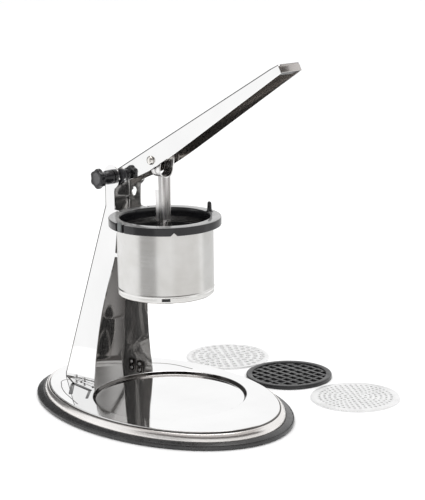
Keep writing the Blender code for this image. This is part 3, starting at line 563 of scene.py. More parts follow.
def make_plate():
    """Pressed steel plate: bulged rim, a groove, flat top and a round recess with a steep wall."""
    nose_inset, groove_inset = 5.6 * MM, 5.9 * MM
    rim = soften([
        (0, MAT_FLOOR + GAP),
        (0, 5.6 * MM, 2.2 * MM),
        (1.2 * MM, 9.8 * MM, 2.6 * MM),
        (4 * MM, 12.2 * MM, 1.6 * MM),
        (nose_inset, 12 * MM, 0.6 * MM),
        (6.4 * MM, 11.1 * MM, 0.4 * MM),
        (7.2 * MM, PLATEAU, 0.6 * MM),
        (9 * MM, PLATEAU),
    ], 6)
    rows = [ellipse(BASE_X, PLATE_A - x, PLATE_B - RIM_NARROWING * x, height) for x, height in rim]
    recess = soften([
        (RECESS_RADIUS + 1 * MM, PLATEAU),
        (RECESS_RADIUS - 0.4 * MM, PLATEAU, 0.6 * MM),
        (RECESS_RADIUS - 2.6 * MM, PLATEAU - RECESS_DEPTH, 1 * MM),
        (RECESS_RADIUS - 7 * MM, PLATEAU - RECESS_DEPTH),
    ], 6)
    rows += [ellipse(RECESS_X, radius, radius, height) for radius, height in recess]
    mesh = loft("steel_plate", rows, cap=True)
    outline = rim + recess
    around = len(rows[0])
    # The groove inside the rim and the recess's steep wall take the dark steel, painted shade; the rim's
    # outside takes the rim steel.
    for face in mesh.polygons:
        row = face.index // around
        if row >= len(outline) - 1:
            continue
        lower, upper = outline[row], outline[row + 1]
        if row < len(rim):
            dark = lower.x > groove_inset and max(lower.y, upper.y) < PLATEAU - 0.4 * MM
            face.material_index = 1 if dark else 2 * int(lower.x < nose_inset)
        else:
            face.material_index = int(abs(upper.y - lower.y) > 0.15 * MM)
    piece("steel_plate", mesh, [MIRROR, SHADE_AND_JOINT_STEEL, RIM_STEEL], "stand", ["base_plate"])


def make_bead(name, points, radius=0.5 * MM):
    """Low pressed bead on the plateau, on a smooth curve through places in millimetres."""
    bead = bpy.data.curves.new(name, "CURVE")
    bead.dimensions = "3D"
    bead.bevel_depth = radius
    bead.bevel_resolution = 3
    bead.use_fill_caps = True
    spline = bead.splines.new("BEZIER")
    spline.bezier_points.add(len(points) - 1)
    for point, (x, y) in zip(spline.bezier_points, points):
        point.co = (x * MM, y * MM, PLATEAU - 0.25 * MM)
        point.handle_left_type = point.handle_right_type = "AUTO"
    # The dark steel along a bead is painted shade, apart from the foot's joint line, where it is the joint's
    # own dark.
    piece(name, bead, [SHADE_AND_JOINT_STEEL], "stand")


def make_slot_shade(name, start, end, wide):
    """Black sheet on the plateau between two places in millimetres, with round ends: painted shade of a slot.
    """
    loop = slot_outline(Vector(start) * MM, Vector(end) * MM, wide / 2, 8)
    mesh = flat_sheet(name, [loop], 0.5 * MM, 0.1 * MM, PLATEAU - 0.35 * MM)
    piece(name, mesh, [PLASTIC], "stand")


def make_plate_marks():
    """Two curved beads at the plate's rear, and a U of black sheets beside the column's foot, painted slot
    shade.
    """
    make_bead("bead_far", [(-44, 69.3), (-71, 63.7), (-88, 52), (-101, 38)])
    make_bead("bead_near", [(-101, -42), (-104, -49), (-94, -59), (-73.5, -70.6), (-55, -77), (-35, -83.6)])
    make_slot_shade("slot_bar", (-88.5, -48), (-60, -49.6), 4.2 * MM)
    make_slot_shade("slot_leg_rear", (-88, -49.6), (-65, -69.4), 4 * MM)
    make_slot_shade("slot_leg_front", (-59, -50.6), (-43, -66.4), 2.8 * MM)


def make_foot_line():
    """Joint line along the near flange's foot, with three spot welds and a dark line of painted shade along
    the fold at its rear end.
    """
    make_bead("foot_line", [(-66, -41.2), (-87, -39.6), (-108, -38.2)], 0.45 * MM)
    fold = [(-118, -34.8), (-112, -38.2), (-103, -41.8), (-95, -45.2), (-89.5, -47.4)]
    make_bead("foot_fold_shade_line", fold, 0.9 * MM)
    for i, (x, y) in enumerate(((-66, -41.4), (-87, -39.8), (-107, -38.6))):
        rows = []
        for turn in range(0, 90, 15):
            reach, height = 1.2 * MM * cos(radians(turn)), 1.1 * MM * sin(radians(turn))
            rows.append(ellipse(0, reach, reach, height, 20))
        mesh = loft("spot_weld", rows + [[(0, 0, 1.15 * MM)]])
        mesh.transform(at(x * MM, y * MM, PLATEAU - 0.1 * MM))
        piece(f"spot_weld_{i + 1}", mesh, [SHADE_AND_JOINT_STEEL], "stand")


# Column


def column_front(height):
    """The flanges' front edge: straight foot, a belly with a small nib under the ring, tab and neck."""
    if height > RING_TOP + 0.1 * MM:
        return NECK_FRONT
    if height > RING_BOTTOM - 0.4 * MM:
        return TAB_FRONT
    if NIB_LOW < height < NIB_HIGH:
        return NIB_FRONT
    return smooth_through(BELLY, height / MM) * MM


def web_slope(half, bow):
    """Slope of the bowed web where the fold meets it, in radians, and half the bowed width."""
    slope, reach = 0.0, half
    for _ in range(5):
        slope = atan2(2 * bow, reach)
        reach = half - BEND * (1 - sin(slope))
    return slope, reach


def column_row(height):
    """Points round the open section, from the near flange's front edge to the far one's."""
    foot = PLATEAU + 2.3 * MM
    share = min(max((height - foot) / (NECK - foot), 0), 1)
    half, back = mix(FOOT_HALF, NECK_HALF, share), mix(FOOT_BACK, NECK_BACK, share)
    bow = mix(FOOT_BOW, NECK_BOW, share)
    slope, reach = web_slope(half, bow)
    centre = Vector((back + bow + BEND * cos(slope), BEND - half))
    front, rear = column_front(height), centre.x
    if height > EAR_START:
        ear = sqrt(max(EAR_RADIUS**2 - (height - PIVOT.z) ** 2, (0.8 * MM) ** 2))
        below = height < PIVOT.z
        front = max(front, PIVOT.x + ear) if below else PIVOT.x + ear
        rear = min(rear, PIVOT.x - ear) if below else PIVOT.x - ear
    near = [(mix(front, rear, i / FLANGE_STEPS), -half) for i in range(FLANGE_STEPS + 1)]
    for i in range(1, BEND_STEPS + 1):
        angle = 3 * pi / 2 + (slope - pi / 2) * i / BEND_STEPS
        near.append((centre.x + BEND * cos(angle), centre.y + BEND * sin(angle)))
    for i in range(1, WEB_STEPS):
        across = 1 - i / WEB_STEPS
        near.append((back + bow * across**2, -reach * across))
    around = near + [(back, 0)] + [(x, -y) for x, y in reversed(near)]
    return [(x, y, height) for x, y in around]


def ear_slot():
    """Cutter for the leaning long hole in the far flange."""
    middle, lean = Vector((-65 * MM, PIVOT.z - 19 * MM)), radians(65)
    half = Vector((cos(lean), sin(lean))) * 1.7 * MM
    loop = slot_outline(middle - half, middle + half, 3 * MM, 10)
    near, far = NECK_HALF / 2, 1.5 * NECK_HALF
    inside, outside = ([(x, y, z) for x, z in loop] for y in (near, far))
    return loft("ear_slot", [[(middle.x, near, middle.y)], inside, outside, [(middle.x, far, middle.y)]])


def make_column():
    """Folded sheet, open to the front, with round ears on top and a leaning slot in the far one."""
    foot, edge = COLUMN_LOW.z, 0.1 * MM
    flat_share, steep_share = 0.13, 0.62  # how much of a fold face's sideways normal points along X
    heights = [PLATEAU + 0.05 * MM, foot + 2 * MM]
    heights += [mix(foot + 6 * MM, NIB_LOW - 0.4 * MM, i / 26) for i in range(27)]
    heights += [NIB_LOW + edge, NIB_HIGH - edge, NIB_HIGH + edge, 168 * MM]
    heights += [RING_BOTTOM - 0.5 * MM, RING_BOTTOM - 0.3 * MM, RING_TOP, RING_TOP + 0.3 * MM]
    heights += [NECK, 200 * MM, EAR_START]
    ear = [PIVOT.z + EAR_RADIUS * sin(radians(angle)) for angle in range(-66, 90, 6)]
    heights = sorted(heights + [WEB_TOP] + [height for height in ear if abs(height - WEB_TOP) > edge])
    rows = [column_row(height) for height in heights]
    web_row, count = heights.index(WEB_TOP), len(rows[0]) - 1

    def above_web(j, i):
        return j >= web_row and FLANGE_STEPS <= i < count - FLANGE_STEPS

    mesh = loft("steel_column", rows, wrap=False, skip=above_web)
    # The fold's outside takes the dark steel, painted shade; through the thickness the insides take the
    # darker inside steel, painted shade, and the far flange's inside a less dark painted shade.
    for face in mesh.polygons:
        share = abs(face.normal.x) / face.normal.xy.length
        on_fold = flat_share < share < steep_share and face.center.z < WEB_TOP
        on_far = share < flat_share and face.center.y > 0
        face.material_index = 2 if on_fold else 4 * int(on_far)
    looks = [MIRROR, INSIDE_SHADE_STEEL, SHADE_AND_JOINT_STEEL, INSIDE_SHADE_STEEL, MIRROR, INSIDE_SHADE_STEEL_FAR]
    made = piece("steel_column", mesh, looks, "stand", ["column"])
    thickened(made)
    cut(made, [rod_mesh("bore", PIVOT, 3.3 * MM, 80 * MM), ear_slot()])
    bevelled(made, 0.25 * MM, 50)


# Ring and pot


def make_ring():
    """Black holder: flat ring with slots for the column's tabs and a notch in its lower edge."""
    low, top = RING_BOTTOM, RING_TOP
    groove_out, groove_in, groove_top = POT_RIM + GAP, POT_RADIUS - POT_WALL - GAP, POT_TOP + GAP
    outline = soften([
        (RING_BORE, top, 1.2 * MM),
        (RING_RADIUS, top, 0.9 * MM),
        (RING_RADIUS, low, 0.9 * MM),
        (groove_out, low, 0.3 * MM),
        (groove_out, groove_top),
        (groove_in, groove_top),
        (groove_in, low - RING_SKIRT, 0.4 * MM),
        (RING_BORE + 0.5 * MM, low - RING_SKIRT, 0.4 * MM),
        (RING_BORE + 0.5 * MM, top - 4 * MM, 0.4 * MM),
        (RING_BORE - 0.6 * MM, top - 4.6 * MM, 0.4 * MM),
    ])
    mesh = lathe("ring_holder", outline, 180)
    # The flat top takes the lighter plastic: painted sheen.
    for face in mesh.polygons:
        reach = face.center.xy.length
        face.material_index = int(face.center.z > top - 0.3 * MM and reach > RING_BORE + 0.9 * MM)
    made = piece("ring_holder", mesh, [PLASTIC, RING_TOP_SHEEN], "stand", ["pot_ring"])
    middle = (low + top) / 2
    flange = abs(column_row(middle)[0][1]) - SHEET / 2
    tools = []
    for side in (-1, 1):
        place = at(-53 * MM, side * flange, middle)
        tools.append(box_mesh("tab_slot", (15.6 * MM, SHEET + 1.8 * MM, 20 * MM), place))
    edge = about_z(SEAM_ANGLE) @ at(RING_RADIUS - 3 * MM, 0, low)
    wedge = edge @ Matrix.Rotation(pi / 4, 4, "X")
    tools.append(box_mesh("notch", (14 * MM, 4.6 * MM, 4.6 * MM), wedge))
    for step in (-5.6, 5.4):
        place = about_z(CLIP_ANGLE + step) @ at(RING_RADIUS, 0, top - 3 * MM)
        tools.append(box_mesh("clip_slot", (5 * MM, 2.6 * MM, 14 * MM), place))
    cut(made, tools)


def make_ring_clip():
    """Snap tongue between two slots in the ring's wall, rounded at its lower end."""
    low, top = RING_BOTTOM + 0.6 * MM, RING_TOP + 1 * MM
    half = 2.6 * MM
    turns = [pi + pi * i / 12 for i in range(1, 12)]
    profile = [(-half, top), (-half, low + half)]
    profile += [(half * cos(turn), low + half + half * sin(turn)) for turn in turns]
    profile += [(half, low + half), (half, top)]
    mesh = flat_sheet("ring_clip", [profile], 2.4 * MM, 0.5 * MM, -1.6 * MM)
    outside = about_z(CLIP_ANGLE) @ at(RING_RADIUS - 0.3 * MM, 0, 0)
    mesh.transform(outside @ about_z(90) @ UPRIGHT)
    piece("ring_clip", mesh, [GREY_PLASTIC], "stand")


def make_peg():
    """Upright thumb tab with a round top and a foot that blends into the ring."""
    place = middle_of("ring_peg")
    foot, top = RING_TOP + 0.1 * MM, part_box("ring_peg")[1].z
    # Share of the height, and half the width and depth in millimetres.
    sections = [(0, 4.6, 3.4), (0.06, 3.5, 2.5), (0.2, 2.9, 2.1), (0.5, 2.6, 2), (0.76, 2.5, 1.9)]
    sections += [(0.9, 2.1, 1.6), (0.97, 1.2, 0.9)]
    rows = [ellipse(0, wide * MM, deep * MM, mix(foot, top, share), 32) for share, wide, deep in sections]
    mesh = loft("thumb_tab", rows + [[(0, 0, top)]])
    mesh.transform(at(place.x, place.y, 0) @ about_z(-17))
    piece("thumb_tab", mesh, [PLASTIC], "stand", ["ring_peg"])


def make_pot():
    """Brushed cup with a rolled rim, a welded seam, a bead low down and two small windows."""
    out, wall = POT_RADIUS, POT_WALL
    bead = POT_BOTTOM + 6 * MM
    outline = soften([
        (out - wall, POT_TOP, 0.3 * MM),
        (POT_RIM, POT_TOP, 0.5 * MM),
        (POT_RIM, POT_TOP - 1.4 * MM, 0.5 * MM),
        (out, POT_TOP - 1.4 * MM, 0.3 * MM),
        (out, bead + 1.4 * MM, 0.4 * MM),
        (out + 0.6 * MM, bead, 0.8 * MM),
        (out, bead - 1.4 * MM, 0.4 * MM),
        (out, POT_BOTTOM + 0.9 * MM, 0.3 * MM),
        (out - 0.7 * MM, POT_BOTTOM, 0.4 * MM),
        (out - wall - 3 * MM, POT_BOTTOM, 0.3 * MM),
        (out - wall - 3 * MM, POT_BOTTOM + wall, 0.3 * MM),
        (out - wall, POT_BOTTOM + wall, 0.5 * MM),
        (out - wall, POT_TOP - 3 * MM),
    ])
    extra_turns = [SEAM_ANGLE + step for step in (-0.7, -0.35, 0, 0.35, 0.7)]
    mesh = lathe("brushed_pot", outline, 180, extra_turns)
    seam = Vector((cos(radians(SEAM_ANGLE)), sin(radians(SEAM_ANGLE))))
    for vertex in mesh.vertices:
        turn = abs(vertex.co.xy.angle_signed(seam))
        if turn < radians(0.5) and vertex.co.xy.length > out - 0.1 * MM:
            depth = 0.08 * MM if turn < radians(0.1) else 0.03 * MM
            vertex.co.xy *= 1 - depth / out
    # The outside of the bottom edge takes the dimmer steel: painted shade.
    for face in mesh.polygons:
        low_down = face.center.z < POT_BOTTOM + 0.9 * MM
        face.material_index = int(low_down and face.center.xy.length > out - 0.8 * MM)
    made = piece("brushed_pot", mesh, [BRUSHED, DIM_SHADE_STEEL], "stand", ["pot"], 45)
    tools = []
    for side, angle in (("front", WINDOW_ANGLE), ("rear", WINDOW_ANGLE + 180)):
        place = about_z(angle) @ at(out, 0, POT_BOTTOM + 3.4 * MM)
        tools.append(box_mesh("window", (5 * MM, 8 * MM, 2.8 * MM), place))
        # A black block just behind each window: painted shade, so that the window reads dark.
        behind = place @ at(-2 * MM, 0, 0)
        shade_block = box_mesh("window_shade", (0.8 * MM, 9.4 * MM, 3.6 * MM), behind)
        bevelled(piece(f"window_shade_{side}", shade_block, [PLASTIC], "stand"), 0.2 * MM)
    cut(made, tools)


# Pivot and knob


def along_y(y):
    """Turns a shape made about Z so that its height runs to -Y from y, on the pivot's axis."""
    return at(PIVOT.x, y, PIVOT.z) @ UPRIGHT


def make_knob():
    """Lobed knob with a dished face."""
    low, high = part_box("knob")
    length, radius = high.y - low.y, half_size("knob").z
    depth = 1.12 * length  # the face's rim stands proud of the CAD's knob
    lobe = 0.075
    # Share of the depth, size and how far the lobes stand out there: the side, and then the dish.
    stations = [(0, 0.84, 1), (0.06, 0.93, 1), (0.18, 0.985, 1), (0.45, 1, 1), (0.75, 0.99, 1)]
    stations += [(0.92, 0.93, 1), (1, 0.82, 0.8), (1, 0.7, 0.4), (0.95, 0.63, 0.2), (0.86, 0.57, 0)]
    stations += [(0.8, 0.45, 0), (0.78, 0.25, 0)]
    rows = [[(0, 0, 0)]]
    for share, scale, lobes in stations:
        row = []
        for i in range(144):
            turn = 2 * pi * i / 144
            reach = radius / (1 + lobe) * scale * (1 - lobe * lobes * cos(6 * turn))
            row.append((reach * cos(turn), reach * sin(turn), share * depth))
        rows.append(row)
    mesh = loft("lobed_knob", rows + [[(0, 0, stations[-1][0] * depth)]])
    mesh.transform(along_y(high.y))
    for face in mesh.polygons:
        reach = (face.center - PIVOT).xz.length
        face.material_index = int(face.center.y < low.y + 0.2 * length and reach < 0.6 * radius)
    piece("lobed_knob", mesh, [PLASTIC, KNOB_FACE], "knob", ["knob"], 60)


def make_collar():
    """Spacer collar between knob and ear, with a waist."""
    length, radius = 2 * half_size("knob_collar").y, half_size("knob_collar").z
    outline = soften([
        (3.4 * MM, length),
        (radius - 0.8 * MM, length, 0.6 * MM),
        (radius - 1.1 * MM, length * 0.7, 0.8 * MM),
        (radius - 0.2 * MM, length * 0.5, 0.9 * MM),
        (radius, length * 0.15, 0.9 * MM),
        (radius, 0, 0.7 * MM),
        (3.4 * MM, 0),
    ])
    mesh = lathe("collar", outline, 72)
    mesh.transform(along_y(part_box("knob_collar")[1].y))
    piece("collar", mesh, [PLASTIC], "stand", ["knob_collar"])


def make_bolt():
    """Through bolt with a thread where the nut sits and a round head beyond it."""
    low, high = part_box("pivot_bolt")
    length = high.y - low.y
    radius, pitch, height = 3 * MM, 0.8 * MM, 1.5 * MM
    outline = [(0, 0), (3.6 * MM, 0), (4.4 * MM, 0.5 * MM), (4.4 * MM, 1.2 * MM), (radius, 1.3 * MM)]
    thread_end = high.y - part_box("pivot_nut")[0].y + 2 * MM
    while height + pitch < thread_end:
        outline += [(radius, height + 0.1 * MM), (radius - 0.4 * MM, height + pitch / 2)]
        outline += [(radius, height + pitch - 0.1 * MM)]
        height += pitch
    outline += [(radius, length - 3 * MM), (radius - 0.6 * MM, length - 2.4 * MM), (0, length - 2.4 * MM)]
    mesh = lathe("pivot_screw", outline, 40, open_outline=True)
    mesh.transform(along_y(high.y))
    piece("pivot_screw", mesh, [FASTENER], "knob", ["pivot_bolt"])


# Lever


def lever_section(along, inset=0.0):
    """Inverted U at a distance from the pivot, as points across the lever."""
    nose = ease((along - LEVER_LENGTH) / (12 * MM) + 1)
    top = mix(LEVER_REAR_TOP, LEVER_END_TOP, along / LEVER_LENGTH) - 0.8 * MM * nose
    if along < 0:
        reach = sqrt(max(LEVER_REAR**2 - along**2, 0.2 * MM**2))
        top, low = min(top, reach), -min(reach, 10.3 * MM)
    else:
        low = -smooth_through(LEVER_UNDER, along / MM) * MM
    top -= inset
    half = LEVER_HALF - inset
    bend = min(2.4 * MM, (top - low) * 0.4)
    near = [(-half, low), (-half, mix(low, top, 0.3)), (-half, top - bend)]
    for i in range(1, 8):
        angle = radians(180 - 90 * i / 7)
        near.append((-half + bend + bend * cos(angle), top - bend + bend * sin(angle)))
    near.append((-half * 0.4, top))
    across = near + [(-y, z) for y, z in reversed(near)]
    tilt = Matrix.Rotation(-LEVER_TILT, 4, "Y")
    return [PIVOT + tilt @ Vector((along, y, z)) for y, z in across]


def make_lever():
    """Pressed channel with rounded shoulders, a deeper belly at the plunger pin and a closed nose."""
    belly_end = 110 * MM
    stations = [-LEVER_REAR * cos(radians(90 * i / 8)) for i in range(8)]
    stations += [mix(0, belly_end, i / 22) for i in range(23)]
    stations += [mix(belly_end, LEVER_LENGTH - 2 * MM, i / 14) for i in range(1, 15)]
    rows = [lever_section(along) for along in stations]
    for forward, inset in ((-1.1, 0.25), (-0.4, 0.8), (0, 1.6)):
        rows.append(lever_section(LEVER_LENGTH + forward * MM, inset * MM))
    mesh = loft("channel_lever", rows, wrap=False, cap=True)
    nose = PIVOT.x + (LEVER_LENGTH - 1.3 * MM) * cos(LEVER_TILT) - 3 * MM
    # The nose's front faces take the dimmer steel, painted shade; the channel's inside takes the inside
    # steel, painted shade.
    for face in mesh.polygons:
        face.material_index = 2 * int(face.normal.x > 0.45 and face.center.x > nose)
    looks = [MIRROR, LEVER_INSIDE_SHADE_STEEL, DIM_SHADE_STEEL, LEVER_INSIDE_SHADE_STEEL]
    made = piece("channel_lever", mesh, looks, "lever", ["lever"])
    thickened(made)
    cut(made, [rod_mesh("bore", PIVOT, 5.3 * MM, 60 * MM), rod_mesh("pin_bore", PIN, 2.8 * MM, 60 * MM)])
    bevelled(made, 0.25 * MM, 50)


def make_lever_reflection_patch():
    """Dark patch on the lever's near side, round the pivot washer: a painted reflection in the lever's
    polished face.
    """
    outline = soften([
        (-9 * MM, 2.8 * MM, 2 * MM),
        (17 * MM, 2.4 * MM, 6 * MM),
        (19.5 * MM, -6.5 * MM, 5 * MM),
        (8 * MM, -9.4 * MM, 4 * MM),
        (-7 * MM, -8.6 * MM, 3 * MM),
    ], 6)
    mesh = flat_sheet("lever_reflection_patch", [outline], 0.4 * MM, 0.12 * MM, -0.02 * MM)
    side = Matrix.Rotation(-LEVER_TILT, 4, "Y") @ at(0, -LEVER_HALF, 0)
    mesh.transform(Matrix.Translation(PIVOT) @ side @ UPRIGHT)
    made = piece("lever_reflection_patch", mesh, [DARK_PLASTIC], "lever")
    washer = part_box("pivot_washer_near")[1].z - PIVOT.z
    cut(made, [rod_mesh("patch_bore", PIVOT, washer + GAP, 60 * MM)])


def make_pin():
    """Rivet with a domed head and a flat collar under it on each side."""
    head, end = half_size("plunger_pin").z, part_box("plunger_pin")[1].y
    half = LEVER_HALF + GAP
    dome_foot = half + 0.4 * MM
    turns = [radians(angle) for angle in range(80, -1, -10)]
    cap = [(0, end)]
    cap += [(head * cos(turn), mix(dome_foot, end, sin(turn))) for turn in turns]
    cap += [(head, half + 0.1 * MM), (2.5 * MM, half)]
    outline = cap + [(radius, -reach) for radius, reach in reversed(cap)]
    mesh = lathe("domed_pin", outline, 56, open_outline=True)
    mesh.transform(Matrix.Translation(PIN) @ UPRIGHT)
    piece("domed_pin", mesh, [PIN_STEEL], "lever", ["plunger_pin"], 50)


# Plunger


def move_over(mesh, node):
    """Moves a mesh that was made round the origin sideways, to the middle of a node."""
    middle = middle_of(node)
    mesh.transform(at(middle.x, middle.y, 0))


def make_plunger_plate():
    """Moulded pan with a rounded rim and a raised ring on its floor."""
    low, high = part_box("plunger_plate")
    out, floor = half_size("plunger_plate").x, low.z + 1.5 * MM
    outline = soften([
        (13 * MM, floor, 0.4 * MM),
        (27 * MM, floor, 0.5 * MM),
        (27.6 * MM, floor + 1.6 * MM, 0.6 * MM),
        (29.6 * MM, floor + 1.6 * MM, 0.6 * MM),
        (30.2 * MM, floor, 0.5 * MM),
        (out - 2.6 * MM, floor, 1.6 * MM),
        (out - 1.6 * MM, high.z, 0.5 * MM),
        (out, high.z, 0.6 * MM),
        (out, low.z, 2.4 * MM),
    ], 5)
    mesh = lathe("plunger_pan", [(0, floor)] + outline + [(0, low.z)], 150, open_outline=True)
    move_over(mesh, "plunger_plate")
    piece("plunger_pan", mesh, [PLASTIC], "plunger", ["plunger_plate"], 45)


# Discs


def hole_rings(spacing, rings, radius, steps):
    """Round holes on rings of six more each time, round one in the middle."""
    loops = [circle(0, 0, radius, steps)]
    for ring in range(1, rings + 1):
        for i in range(6 * ring):
            turn = 2 * pi * (i + 0.5 * (ring % 2)) / (6 * ring)
            loops.append(circle(ring * spacing * cos(turn), ring * spacing * sin(turn), radius, steps))
    return loops


def clip_to_circle(loop, radius, sides=72):
    """The part of a convex outline that lies inside a circle."""
    for side in range(sides):
        normal = Vector((cos(2 * pi * side / sides), sin(2 * pi * side / sides)))
        kept = []
        for i, point in enumerate(loop):
            a, b = Vector(loop[i - 1]), Vector(point)
            over_a, over_b = a.dot(normal) - radius, b.dot(normal) - radius
            if (over_a > 0) != (over_b > 0):
                kept.append(tuple(a + (b - a) * (over_a / (over_a - over_b))))
            if over_b <= 0:
                kept.append(tuple(b))
        loop = kept
        if len(loop) < 3:
            return []
    return loop


def loop_area(loop):
    return abs(sum(a[0] * b[1] - b[0] * a[1] for a, b in zip(loop, loop[1:] + loop[:1]))) / 2


def make_disc(node, spacing, rings, hole, steps):
    """Steel strainer disc with holes in rings."""
    low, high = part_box(node)
    loops = [circle(0, 0, half_size(node).x, 160)] + hole_rings(spacing, rings, hole, steps)
    mesh = flat_sheet(node + "_plate", loops, high.z - low.z, 0.25 * MM, low.z)
    move_over(mesh, node)
    piece(node + "_plate", mesh, [DISC_STEEL], node, [node])


def make_grid_disc():
    """Black disc: thin bars one way, thick bars the other, inside a rounded rim."""
    low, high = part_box("grid_disc")
    radius = half_size("grid_disc").x
    inner = radius - 6 * MM
    pitch_u, pitch_v, thin, thick = 10.2 * MM, 8.8 * MM, 1.7 * MM, 3.3 * MM
    wide, deep = (pitch_u - thin) / 2, (pitch_v - thick) / 2
    loops = [circle(0, 0, inner + 0.6 * MM, 120)]
    for row in range(-4, 5):
        for column in range(-4, 5):
            u, v = (column + 0.25) * pitch_u, (row + 0.3) * pitch_v
            corners = [(u - wide, v - deep), (u + wide, v - deep), (u + wide, v + deep), (u - wide, v + deep)]
            loop = clip_to_circle(corners, inner)
            if loop and loop_area(loop) > 4 * MM**2:
                loops.append(loop)
    mesh = flat_sheet("grid_bars", loops, (high.z - low.z) * 0.7, 0.15 * MM, low.z + 0.2 * MM)
    move_over(mesh, "grid_disc")
    piece("grid_bars", mesh, [GRID_PLASTIC], "grid_disc", ["grid_disc"])
    top = high.z
    outline = soften([
        (inner, low.z, 0.3 * MM),
        (inner, top - 0.4 * MM, 0.5 * MM),
        (inner + 2 * MM, top, 0.8 * MM),
        (radius, top, 1.4 * MM),
        (radius, low.z, 0.6 * MM),
    ])
    rim = lathe("grid_rim", outline, 160)
    move_over(rim, "grid_disc")
    piece("grid_rim", rim, [GRID_PLASTIC], "grid_disc", ["grid_disc"])


# CAD nodes that keep their shape


def dress_nodes():
    """Finishes and softened edges for the CAD nodes that stay visible."""
    dressed = {
        # The foot bracket inside the column takes the dark steel: painted shade.
        "foot_bracket": (SHADE_AND_JOINT_STEEL, 0.3),
        "pivot_washer_near": (DARK_PLASTIC, 0.15),
        "pivot_washer_far": (NYLON, 0.15),
        "pivot_sleeve": (FASTENER, 0.2),
        "nut_washer": (FASTENER, 0.2),
        "pivot_nut": (FASTENER, 0.4),
        "lever_end_plug": (PLASTIC, 0.3),
        "pin_spacer_near": (NYLON, 0.2),
        "pin_spacer_far": (NYLON, 0.2),
        "plunger_stem": (STEM_STEEL, 0.25),
        "stem_rib": (STEM_STEEL, 0.25),
        "stem_gusset": (STEM_STEEL, 0.3),
    }
    for side in ("near", "far"):
        for place in ("front", "rear"):
            dressed[f"foot_rivet_{side}_{place}"] = (DISC_STEEL, 0.1)
    for name, (look, edge) in dressed.items():
        node = frame["nodes"][name]
        node.data.materials.clear()
        node.data.materials.append(look)
        bevelled(node, edge * MM)


# Studio


CAMERA_AZIMUTH = radians(50.32)
CAMERA_DISTANCE = 1.521
CAMERA_HEIGHT = 0.5169
AIM_AZIMUTH, AIM_DOWN, AIM_ROLL = radians(48.634), radians(13.338), radians(-0.624)
LENS = 118.05  # on a sensor whose long side is 36 mm


def make_camera():
    camera = in_scene("camera", bpy.data.cameras.new("camera"))
    camera.data.lens = LENS
    camera.data.clip_start, camera.data.clip_end = 0.05, 50
    place = (CAMERA_DISTANCE * sin(CAMERA_AZIMUTH), -CAMERA_DISTANCE * cos(CAMERA_AZIMUTH), CAMERA_HEIGHT)
    camera.matrix_world = (
        Matrix.Translation(place)
        @ Matrix.Rotation(AIM_AZIMUTH, 4, "Z")
        @ Matrix.Rotation(pi / 2 - AIM_DOWN, 4, "X")
        @ Matrix.Rotation(AIM_ROLL, 4, "Z")
    )
    bpy.context.scene.camera = camera


def make_floor():
    """Pale floor: a near disc that the steel mirrors, and the rest of the floor, which it doesn't."""
    made = Finish("pale_floor")
    made.tint(made.noise(5, 3), (0.93, 0.93, 0.93), (0.95, 0.95, 0.95))
    made.rough(made.noise(30, 3), 0.7, 0.85)
    near, far = 0.42, 12.0
    inner = lathe("near_floor", [(0, 0), (near, 0)], 96, open_outline=True)
    outer = lathe("far_floor", [(near, 0), (far, 0)], 96, open_outline=True)
    for mesh in (inner, outer):
        floor = in_scene(mesh.name, mesh)
        mesh.materials.append(made.material)
        floor.location.z = -0.05 * MM
    bpy.data.objects["far_floor"].visible_glossy = False


BACKDROP = (1.12, 1.12, 1.12)
GLOSS_BACKDROP = (1.05, 1.05, 1.05)
SIDE_SOFTNESS, TOP_SOFTNESS = 5, 3  # degrees over which a wall's edges fade
# Studio walls that only the gloss sees, as (azimuth, half width, lowest and highest elevation, colour),
# in degrees; azimuth is measured as the camera's is, and later walls stand in front of earlier ones.
WALLS = [
    (0, 200, 48, 130, (0.58, 0.555, 0.54)),
    (60, 76, 16, 48, (0.13, 0.12, 0.115)),
    (-93, 26, -9, 58, (0.13, 0.13, 0.13)),
    (7, 22, -60, 12, (0.48, 0.475, 0.47)),
    (47, 16, -60, 12, (0.92, 0.915, 0.91)),
    (102, 36, -60, 12, (0.84, 0.83, 0.82)),
    (200, 50, -60, -2, (0.8, 0.8, 0.8)),
]


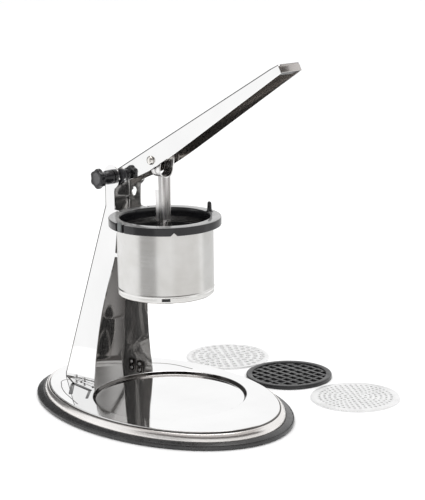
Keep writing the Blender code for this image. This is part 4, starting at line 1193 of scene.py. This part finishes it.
class WorldNodes:
    """The world's background, and the node steps that it is made with."""

    def __init__(self):
        world = bpy.data.worlds.new("studio")
        bpy.context.scene.world = world
        world.use_nodes = True
        self.nodes, self.links = world.node_tree.nodes, world.node_tree.links
        self.background = self.nodes["Background"]

    def feed(self, socket, value):
        """Links another node's output to the socket, or sets it to a number or a colour."""
        if isinstance(value, bpy.types.NodeSocket):
            self.links.new(value, socket)
        else:
            socket.default_value = (*value, 1) if isinstance(value, tuple) else value

    def math(self, operation, *values):
        step = self.nodes.new("ShaderNodeMath")
        step.operation = operation
        for socket, value in zip(step.inputs, values):
            self.feed(socket, value)
        return step.outputs[0]

    def mix(self, share, first, second):
        """The first colour where share is 0 and the second where it is 1."""
        step = self.nodes.new("ShaderNodeMix")
        step.data_type = "RGBA"
        self.feed(step.inputs["Factor"], share)
        colours = [socket for socket in step.inputs if socket.type == "RGBA"]
        for socket, value in zip(colours, (first, second)):
            self.feed(socket, value)
        return next(socket for socket in step.outputs if socket.type == "RGBA")

    def band(self, value, centre, half, soft):
        """1 near the centre and 0 far from it, changing within soft of half a band's width."""
        away = self.math("ABSOLUTE", self.math("SUBTRACT", value, centre))
        step = self.nodes.new("ShaderNodeMapRange")
        step.interpolation_type = "SMOOTHSTEP"
        limits = {"From Min": half - soft, "From Max": half + soft, "To Min": 1, "To Max": 0}
        for socket, number in limits.items():
            step.inputs[socket].default_value = number
        self.links.new(away, step.inputs["Value"])
        return step.outputs["Result"]


def make_world():
    """White studio; the gloss also sees grey and dark walls round the camera."""
    world = WorldNodes()
    split = world.nodes.new("ShaderNodeSeparateXYZ")
    world.links.new(world.nodes.new("ShaderNodeTexCoord").outputs["Generated"], split.inputs[0])
    x, y, z = split.outputs
    azimuth = world.math("MULTIPLY", world.math("ARCTAN2", x, world.math("MULTIPLY", y, -1)), 180 / pi)
    elevation = world.math("MULTIPLY", world.math("ARCSINE", z), 180 / pi)
    seen = GLOSS_BACKDROP
    for centre, half, low, high, colour in WALLS:
        turned = world.math("WRAP", world.math("SUBTRACT", azimuth, centre), 180, -180)
        across = world.band(turned, 0, half, SIDE_SOFTNESS)
        upright = world.band(elevation, (low + high) / 2, (high - low) / 2, TOP_SOFTNESS)
        seen = world.mix(world.math("MULTIPLY", across, upright), seen, colour)
    glossy = world.nodes.new("ShaderNodeLightPath").outputs["Is Glossy Ray"]
    world.links.new(world.mix(glossy, BACKDROP, seen), world.background.inputs["Color"])


def make_light(name, place, size, power):
    """Round soft lamp, turned to the origin."""
    lamp = bpy.data.lights.new(name, "AREA")
    lamp.shape = "DISK"
    lamp.size = size
    lamp.energy = power
    light = in_scene(name, lamp)
    light.location = place
    light.rotation_euler = (-Vector(place)).to_track_quat("-Z", "Y").to_euler()


def main():
    make_camera()
    make_mat()
    make_plate()
    make_plate_marks()
    make_foot_line()
    make_column()
    make_ring()
    make_ring_clip()
    make_peg()
    make_pot()
    make_knob()
    make_collar()
    make_bolt()
    make_lever()
    make_lever_reflection_patch()
    make_pin()
    make_plunger_plate()
    make_disc("coarse_disc", 7.4 * MM, 5, 2.45 * MM, 24)
    make_grid_disc()
    make_disc("fine_disc", 5.1 * MM, 7, 1.3 * MM, 14)
    dress_nodes()
    make_floor()
    make_world()
    make_light("top_light", (-0.3, 0.2, 1.8), 1.2, 9)
    bpy.context.scene.view_settings.view_transform = "Standard"


main()
